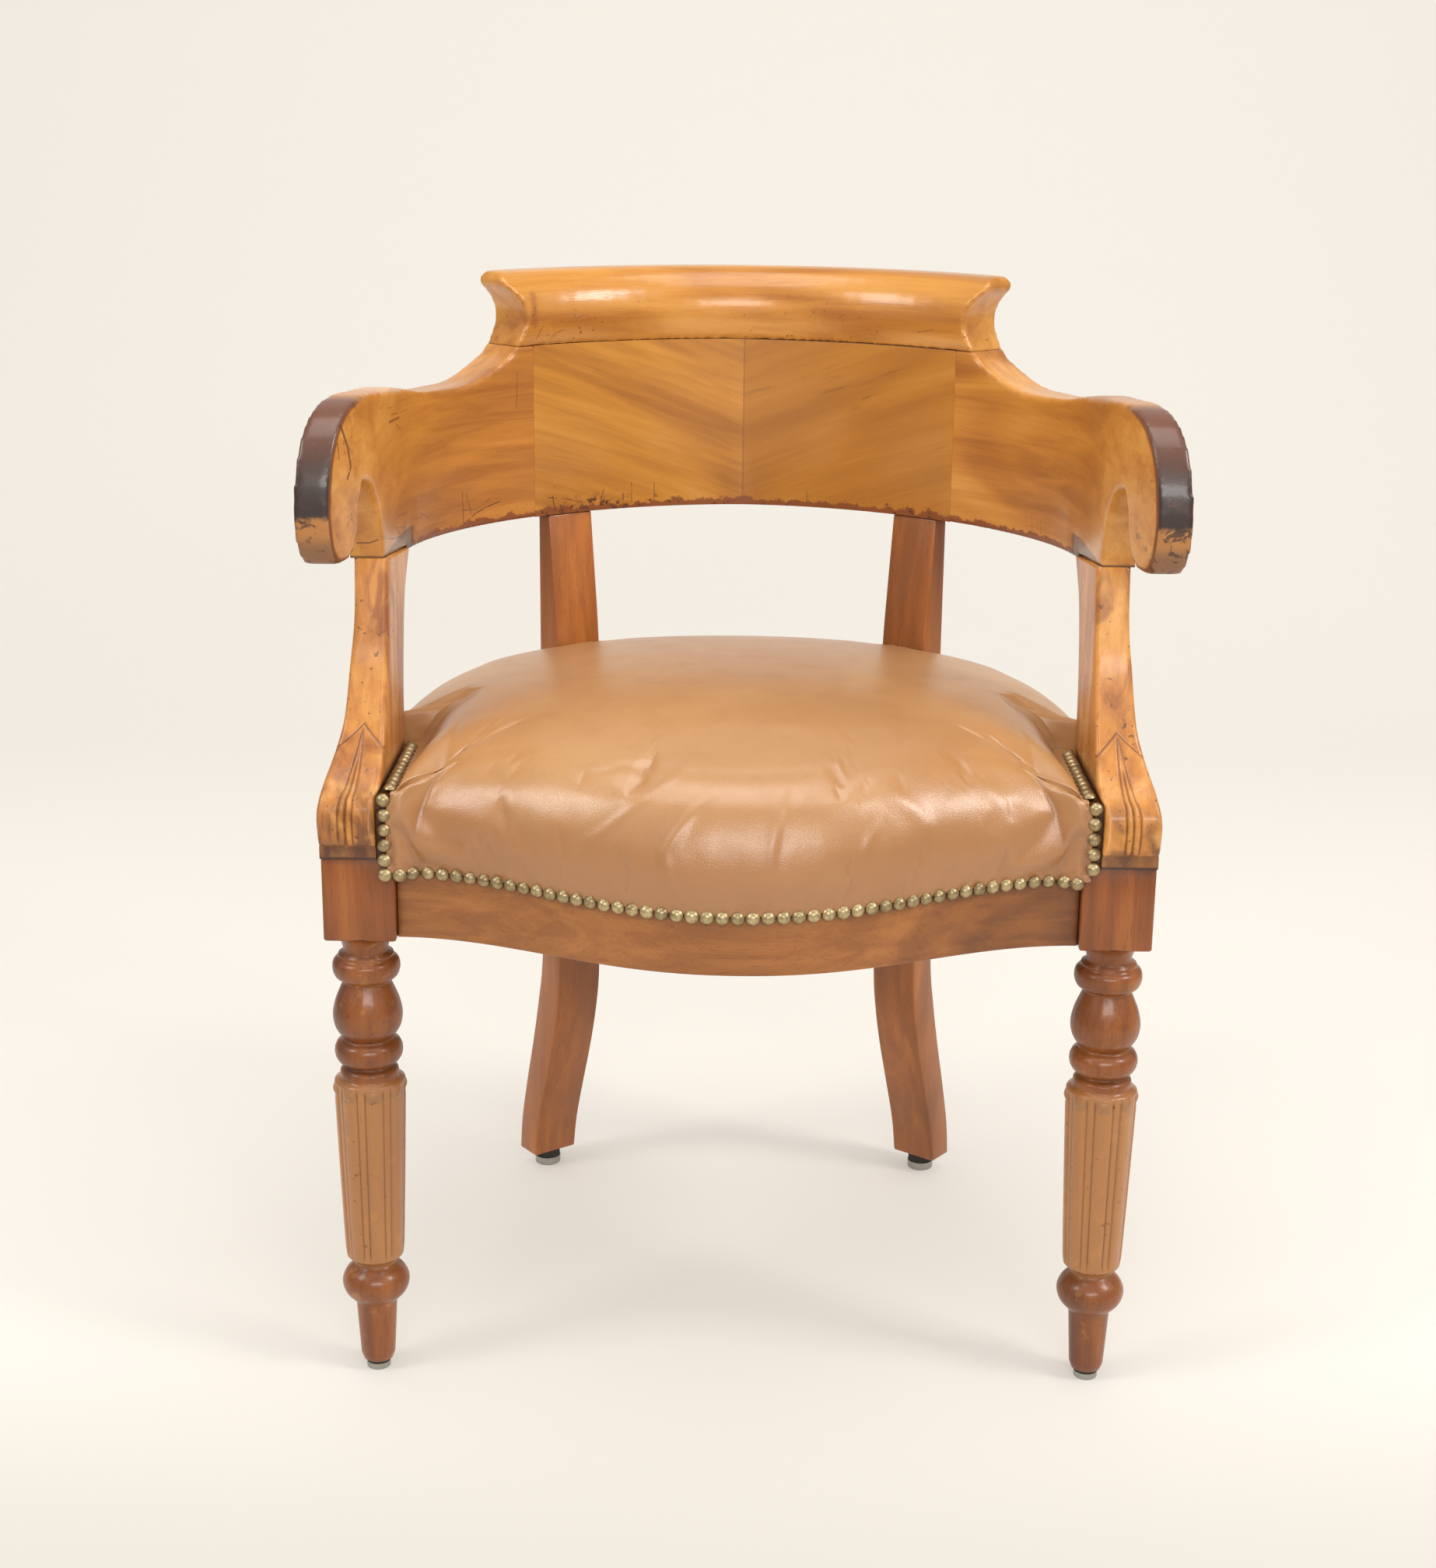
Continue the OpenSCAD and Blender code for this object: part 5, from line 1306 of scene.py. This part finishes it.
def pucker(u, v, path, width, height):
    """How far one stroke pushes the hide out where the camera sees the pixel u, v."""
    near, along = 1e9, 0.0
    for k in range(len(path) - 1):
        step = path[k + 1] - path[k]
        t = ((u - path[k][0]) * step[0] + (v - path[k][1]) * step[1]) / step.dot(step)
        t = min(max(t, 0.0), 1.0)
        gap = math.hypot(u - path[k][0] - t * step[0], v - path[k][1] - t * step[1])
        if gap < near:
            near, along = gap, (k + t) / (len(path) - 1)
    if near >= 4 * width:
        return 0.0
    fade = math.sin(math.pi * min(max(along, 0.04), 0.96)) ** 0.6
    ridge = math.exp(-((near / width) ** 2))
    return height * fade * (ridge - 0.35 * math.exp(-((near / width / 2.2) ** 2)))


def slack(u, v, above, facing):
    """Small folds above the nails and wide soft ones further up, on what faces the front."""
    low = smoothstep(above, 4, 16) * smoothstep(above, 88, 30)
    gather = noise.noise(Vector((u / 42, v / 150, 3.0))) + 0.35 * noise.noise(Vector((u / 19, v / 90, 8.0)))
    soft = noise.noise(Vector((u / 90, v / 60, 5.0))) + 0.3 * noise.noise(Vector((u / 34, v / 26, 1.0)))
    return (0.7 * gather * low + 0.3 * soft * smoothstep(above, 8, 40)) * smoothstep(facing, 0.1, -0.4)


for vertex in shape.verts:
    if vertex.normal.y > 0.35 or vertex.is_boundary:
        continue
    u, v = seen_at(vertex.co)
    push = sum((pucker(u, v, *stroke) for stroke in strokes), 0.0)
    above = vertex.co.z * 1000 - hem_height(vertex.co.x * 1000)
    push += slack(u, v, above, vertex.normal.y)
    vertex.co += vertex.normal * (push / 1000)
turned_in = 0.0014
rim = [e for e in shape.edges if e.is_boundary]
turned = bmesh.ops.extrude_edge_only(shape, edges=rim)["geom"]
for vertex in (g for g in turned if isinstance(g, bmesh.types.BMVert)):
    inward = Vector((-vertex.co.x, rings_y / 1000 + leg_y - vertex.co.y, 0)).normalized()
    vertex.co += inward * turned_in
bmesh.ops.recalc_face_normals(shape, faces=shape.faces)
for face in shape.faces:
    face.smooth = True
shape.to_mesh(leather_piece.data)
shape.free()
print("leather faces:", len(leather_piece.data.polygons))

# %% [markdown]
# The hide is smooth calf of a warm tan, waxed to a soft gloss. Up close it has a fine
# pebble of pores and short wrinkles, and its colour drifts where it has been sat on. Its
# lower front and its creases are darkened with painted shade.

# %% Finish the leather
leather = Finish("tan hide")
spot = leather.place()
cells = {"Vector": spot, "Scale": 620.0}
pebble = leather.node("ShaderNodeTexVoronoi", {"feature": "DISTANCE_TO_EDGE"}, cells)
wrinkle = leather.noise(spot, 120.0, 4.0, 0.6, 0.8)
drift = leather.noise(spot, 7.0, 3.0, 0.5)
rub = leather.noise(spot, 38.0, 3.0, 0.6)
height = leather.parts(spot)[2]
hide = leather.blend(drift.ramp(0.3, 0.7), tone(188, 140, 88), tone(176, 126, 77))
hide = leather.blend(rub.ramp(0.45, 0.75) * 0.3, hide, tone(164, 114, 66))
# Painted shade: the hide darkens towards the bottom of its front, where less light falls.
hide = leather.blend(height.ramp(0.478, 0.42) * 0.6, hide, tone(158, 100, 54))
# Painted shade in the creases, where the mesh's pointiness shows a hollow.
crease_shade = leather.node("ShaderNodeNewGeometry", out="Pointiness")
hide = leather.blend(crease_shade.ramp(0.5, 0.47) * 0.35, hide, tone(140, 86, 46))
grain = pebble.ramp(0.0, 0.25) * 0.35 + wrinkle * 0.9
leather.set(
    Base_Color=hide, Roughness=rub * 0.12 + 0.28, Normal=leather.bump(grain, 0.00022, 0.5), Coat_Weight=0.15,
    Coat_Roughness=0.2, Specular_IOR_Level=0.95,
)
leather_piece.data.materials.append(leather.material)
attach(leather_piece, "root")
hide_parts("leather_cover")
print("leather finished")

# %% [markdown]
# Under the hide is a pad of curled hair, felted on top. It only shows from below, past
# the webbing, so it is the solid's own form remeshed and roughened. A ray dropped on each
# of its points finds the hide above it and keeps the hair a little way under.

# %% Add the stuffing
hair = Finish("curled hair")
curl = hair.noise(hair.place(), 420.0, 5.0, 0.7, 1.5)
hair.set(
    Base_Color=hair.blend(curl, tone(92, 72, 48), tone(170, 146, 104)), Roughness=0.95,
    Normal=hair.bump(curl, 0.001, 0.7), Specular_IOR_Level=0.15,
)
# The hide's height above which it covers the pad, and how far the pad stays under it.
rail_level, pad_gap = 0.42, 0.007
pad = placed("hair_pad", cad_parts["seat_stuffing"].data.copy())
pad.data = remeshed(pad, 0.006)
lid = surface_of(leather_piece.data)
outward = [v.normal.copy() for v in pad.data.vertices]
for vertex, normal in zip(pad.data.vertices, outward):
    lump = noise.noise(vertex.co * 60 + Vector((5, 0, 0)))
    vertex.co -= normal * (0.0009 + 0.0015 * (0.5 + 0.5 * lump))
    over = lid.ray_cast(vertex.co + Vector((0, 0, 0.2)), Vector((0, 0, -1)))[0]
    if over is not None and over.z > rail_level:
        vertex.co.z = min(vertex.co.z, over.z - pad_gap)
pad.data.shade_smooth()
pad.data.materials.clear()
pad.data.materials.append(hair.material)
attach(pad, "root")
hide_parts("seat_stuffing")
print("pad faces:", len(pad.data.polygons))

# %% [markdown]
# Hessian is tacked over the springs so the hair can't fall between them. It is a plain
# open weave of thick yarns, which sags a little between the spring tops.

# %% Lay the hessian
cloth_low, cloth_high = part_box("spring_cloth")
middle = (cloth_low + cloth_high) / 2
half_x, half_y = (cloth_high.x - cloth_low.x) / 2, (cloth_high.y - cloth_low.y) / 2
corners = [math.radians(a) for a in (45, 135, 225, 315)]
spring_places = [(0.0, 0.0)] + [(0.105 * math.cos(a), 0.095 * math.sin(a)) for a in corners]
outwards, inwards = np.linspace(0.04, 1, 22), np.linspace(1, 0.04, 22)
rings = []
for level, shares in ((cloth_high.z - 0.0002, outwards), (cloth_low.z + 0.0001, inwards)):
    for share in shares:
        ring = []
        for k in range(72):
            way = math.tau * k / 72
            x, y = half_x * share * math.cos(way), half_y * share * math.sin(way)
            gap = min(math.hypot(x - a, y - b) for a, b in spring_places)
            sag = 0.0028 * smoothstep(gap, 0.034, 0.062)
            ring.append((middle.x + x, middle.y + y, level - sag))
        rings.append(ring)
sacking = Finish("hessian")
spot = sacking.place()
wide, deep = sacking.parts(spot)[:2]
yarn = sacking.wave(wide * 2900.0) * sacking.wave(deep * 2900.0) * 0.5 + 0.5
slub = sacking.noise(spot, 150.0, 4.0, 0.7)
sacking.set(
    Base_Color=sacking.blend(yarn * 0.6 + slub * 0.4, tone(104, 82, 52), tone(178, 150, 106)),
    Roughness=0.92,
    Normal=sacking.bump(yarn + slub * 0.4, 0.0006, 0.8),
    Specular_IOR_Level=0.15,
)
weave = join_rings("hessian", rings)
hessian = add_piece("hessian_cloth", weave, "hessian", sacking.material, "spring_cloth")
print("hessian:", round(2 * half_x, 3), "by", round(2 * half_y, 3))

# %% [markdown]
# Jute straps carry the springs. They are nailed under the rails and woven over and under
# each other. Each strap is a flat tube of rings. The long straps lie above the cross ones,
# and at every other crossing the two change places: the long one dips by a little more
# than its thickness, and the cross one rises by as much.

# %% Weave the webbing
web_tree = surface_of(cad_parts["webbing"].data)
web_low, web_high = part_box("webbing")
web_t, lift, strap_gap = 0.0015, 0.0016, 0.056
upper, lower = web_high.z - web_t, web_low.z
long_x = [strap_gap * i for i in (-1.5, -0.5, 0.5, 1.5)]
cross_y = [leg_y + 0.070 + strap_gap * j for j in range(4)]


def swapped(place, others, mine):
    """1 where a strap has changed places with the strap that it crosses, else 0."""
    share = 0.0
    for j, other in enumerate(others):
        if (mine + j) % 2 == 0:
            share = max(share, smoothstep(abs(place - other), 0.031, 0.0255))
    return share


def strap(name, centre, index, lengthwise):
    """One strap. Rays find its ends on the solid, and its rings lie between them."""
    def turned(sideways, along, z):
        return Vector((sideways, along, z) if lengthwise else (along, sideways, z))

    offsets = [-0.0249, -0.0166, -0.0083, 0.0, 0.0083, 0.0166, 0.0249]
    level = (upper if lengthwise else lower) + web_t / 2
    ends = []
    for offset in offsets:
        pair = []
        for way in (1, -1):
            outside = turned(centre + offset, -way * 0.6, level)
            hit = web_tree.ray_cast(outside, turned(0, way, 0))[0]
            pair.append(hit.y if lengthwise else hit.x)
        ends.append(pair)
    rings = []
    for k in range(121):
        upper_row, lower_row = [], []
        for offset, (first, last) in zip(offsets, ends):
            along = first + (last - first) * k / 120
            change = swapped(along, cross_y if lengthwise else long_x, index)
            z = level + (-lift if lengthwise else lift) * change
            upper_row.append(turned(centre + offset, along, z + web_t / 2))
            lower_row.append(turned(centre + offset, along, z - web_t / 2))
        rings.append(upper_row + lower_row[::-1])
    mesh = join_rings(name, rings)
    mesh.set_sharp_from_angle(angle=math.radians(50))
    return mesh


jute = Finish("jute webbing")
spot = jute.place()
wide, deep = jute.parts(spot)[:2]
rising = jute.wave(wide * 1900.0 + deep * 1900.0)
falling = jute.wave(wide * 1900.0 - deep * 1900.0)
twill = rising * falling * 0.5 + 0.5
fuzz = jute.noise(spot, 260.0, 4.0, 0.7)
jute.set(
    Base_Color=jute.blend(twill * 0.5 + fuzz * 0.5, tone(118, 92, 56), tone(196, 166, 116)),
    Roughness=0.9,
    Normal=jute.bump(twill + fuzz * 0.5, 0.0005, 0.7),
    Specular_IOR_Level=0.15,
)
web_parts = bmesh.new()
for i, x in enumerate(long_x):
    web_parts.from_mesh(strap("long", x, i, True))
for j, y in enumerate(cross_y):
    web_parts.from_mesh(strap("cross", y, j, False))
web_mesh = bpy.data.meshes.new("webbing")
web_parts.to_mesh(web_mesh)
web_parts.free()
add_piece("woven_webbing", web_mesh, "webbing", jute.material, "webbing")
print("webbing faces:", len(web_mesh.polygons))

# %% [markdown]
# The nails are small brass domes, driven close together by hand. Each one sits where the
# solid's nail is: its flat underside is the largest flat patch of that solid, which gives
# the nail's place and direction. The new head is turned a little to one side, as no two
# nails go in quite straight. One nail is missing at the right corner of the front.

# %% Drive the nails
def islands(mesh):
    """The separate bodies of a mesh, as lists of polygon indexes."""
    parent = list(range(len(mesh.vertices)))

    def root(i):
        while parent[i] != i:
            parent[i] = parent[parent[i]]
            i = parent[i]
        return i

    places = {}
    for vertex in mesh.vertices:
        key = tuple(round(c, 6) for c in vertex.co)
        if key in places:
            parent[root(vertex.index)] = root(places[key])
        places[key] = vertex.index
    for face in mesh.polygons:
        for vertex in face.vertices[1:]:
            parent[root(vertex)] = root(face.vertices[0])
    groups = {}
    for face in mesh.polygons:
        groups.setdefault(root(face.vertices[0]), []).append(face.index)
    return list(groups.values())


def nail_seats(node):
    """Place and direction of each nail of a node."""
    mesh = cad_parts[node].data
    seats = []
    for group in islands(mesh):
        flat = {}
        for index in group:
            face = mesh.polygons[index]
            flat.setdefault(tuple(round(c, 2) + 0.0 for c in face.normal), []).append(face)
        under = max(flat.values(), key=lambda faces: sum(f.area for f in faces))
        area = sum(f.area for f in under)
        centre = sum((f.center * f.area for f in under), Vector()) / area
        seats.append((centre, -under[0].normal.copy()))
    return seats


def nail_heads(name, seats, chance):
    """Domes on the nails' seats; the section's radii and heights are in millimetres."""
    crown = 3.4
    section = [(1.3, 3.27), (2.5, 2.84), (3.5, 2.12), (4.25, 1.2), (4.72, 0.35), (4.86, 0.1), (4.8, -0.1)]
    work = bmesh.new()
    for centre, axis in seats:
        lean = Vector((chance.uniform(-1, 1), chance.uniform(-1, 1), chance.uniform(-1, 1))) * 0.045
        turn = (axis + lean).normalized().to_track_quat("Z", "Y")
        size = 0.001 * chance.uniform(0.97, 1.02)
        flat = chance.uniform(0.9, 1.0)
        rows = []
        for radius, rise in section:
            row = []
            for k in range(24):
                way = math.tau * k / 24
                place = Vector((radius * math.cos(way), radius * math.sin(way), rise * flat))
                row.append(work.verts.new(centre + turn @ (place * size)))
            rows.append(row)
        tip = work.verts.new(centre + turn @ (Vector((0, 0, crown * flat)) * size))
        for k in range(24):
            n = (k + 1) % 24
            work.faces.new((tip, rows[0][k], rows[0][n]))
            for a, b in zip(rows[:-1], rows[1:]):
                work.faces.new((a[k], b[k], b[n], a[n]))
        work.faces.new(rows[-1][::-1])
    for face in work.faces:
        face.smooth = len(face.verts) < 5
    mesh = bpy.data.meshes.new(name)
    work.to_mesh(mesh)
    work.free()
    return mesh


brass = Finish("old brass")
spot = brass.place()
each = brass.node("ShaderNodeNewGeometry", out="Random Per Island")
tarnish = brass.noise(spot, 420.0, 3.0, 0.6)
grime = brass.noise(spot, 90.0, 2.0, 0.5)
metal = brass.blend(each, tone(206, 186, 142), tone(172, 152, 114))
metal = brass.blend(tarnish.ramp(0.45, 0.7) * 0.6, metal, tone(112, 98, 72))
metal = brass.blend(grime.ramp(0.55, 0.75) * 0.5, metal, tone(112, 86, 50))
brass.set(
    Base_Color=metal,
    Metallic=0.82,
    Roughness=tarnish * 0.25 + 0.27,
    Normal=brass.bump(tarnish, 0.0002, 0.4),
)
chance = random.Random(12)
for node in ("nails_front", "nails_left", "nails_right", "nails_back"):
    seats = nail_seats(node)
    if node == "nails_right":
        # The nail that is gone is the lowest and foremost, where height counts four times.
        corner = min(seats, key=lambda s: s[0].z * 4 + s[0].y)
        seats = [s for s in seats if s is not corner]
    heads = nail_heads(node, seats, chance)
    add_piece(node.replace("nails", "nail_heads"), heads, "nail_brass", brass.material, node)
    print(node, len(seats))

# %% [markdown]
# The rest is plain: nickel glides with dark washers under the feet, and the parts that
# only show from below. These solids have the right shape already and get their own finish.

# %% Finish the glides and the hidden parts
nickel = Finish("nickel")
spot = nickel.place()
worn_metal = nickel.noise(spot, 300.0, 4.0, 0.6)
nickel.set(
    Base_Color=nickel.blend(worn_metal, tone(188, 186, 180), tone(150, 148, 142)), Metallic=1.0,
    Roughness=worn_metal * 0.25 + 0.18, Normal=nickel.bump(worn_metal, 0.0002, 0.3),
)
felt = Finish("dark washer")
spot = felt.place()
nap = felt.noise(spot, 500.0, 4.0, 0.7)
felt.set(
    Base_Color=felt.blend(nap, tone(30, 27, 25), tone(64, 58, 52)),
    Roughness=0.85,
    Normal=felt.bump(nap, 0.0003),
)
steel = Finish("blued steel")
spot = steel.place()
rust = steel.noise(spot, 140.0, 4.0, 0.65)
steel.set(
    Base_Color=steel.blend(rust.ramp(0.5, 0.7), tone(110, 110, 114), tone(104, 70, 48)), Metallic=0.9,
    Roughness=rust * 0.3 + 0.32, Normal=steel.bump(rust, 0.0003, 0.4),
)
beech = wood(
    "pale beech", tone(214, 184, 142), tone(196, 160, 116), tone(160, 122, 80), cross_grain, figure=0.6,
    pores=0.6, gloss=0.6, seed=21.0,
)
plain = {
    "front_glides": nickel.material, "rear_glides": nickel.material, "glide_washers": felt.material,
    "seat_springs": steel.material, "corner_block_screws": steel.material, "corner_blocks": beech,
    "crest_dowels": beech, "arm_dowels": beech, "support_dowels": beech,
}
for node, material in plain.items():
    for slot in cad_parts[node].material_slots:
        slot.material = material
print("finished solids:", len(plain))
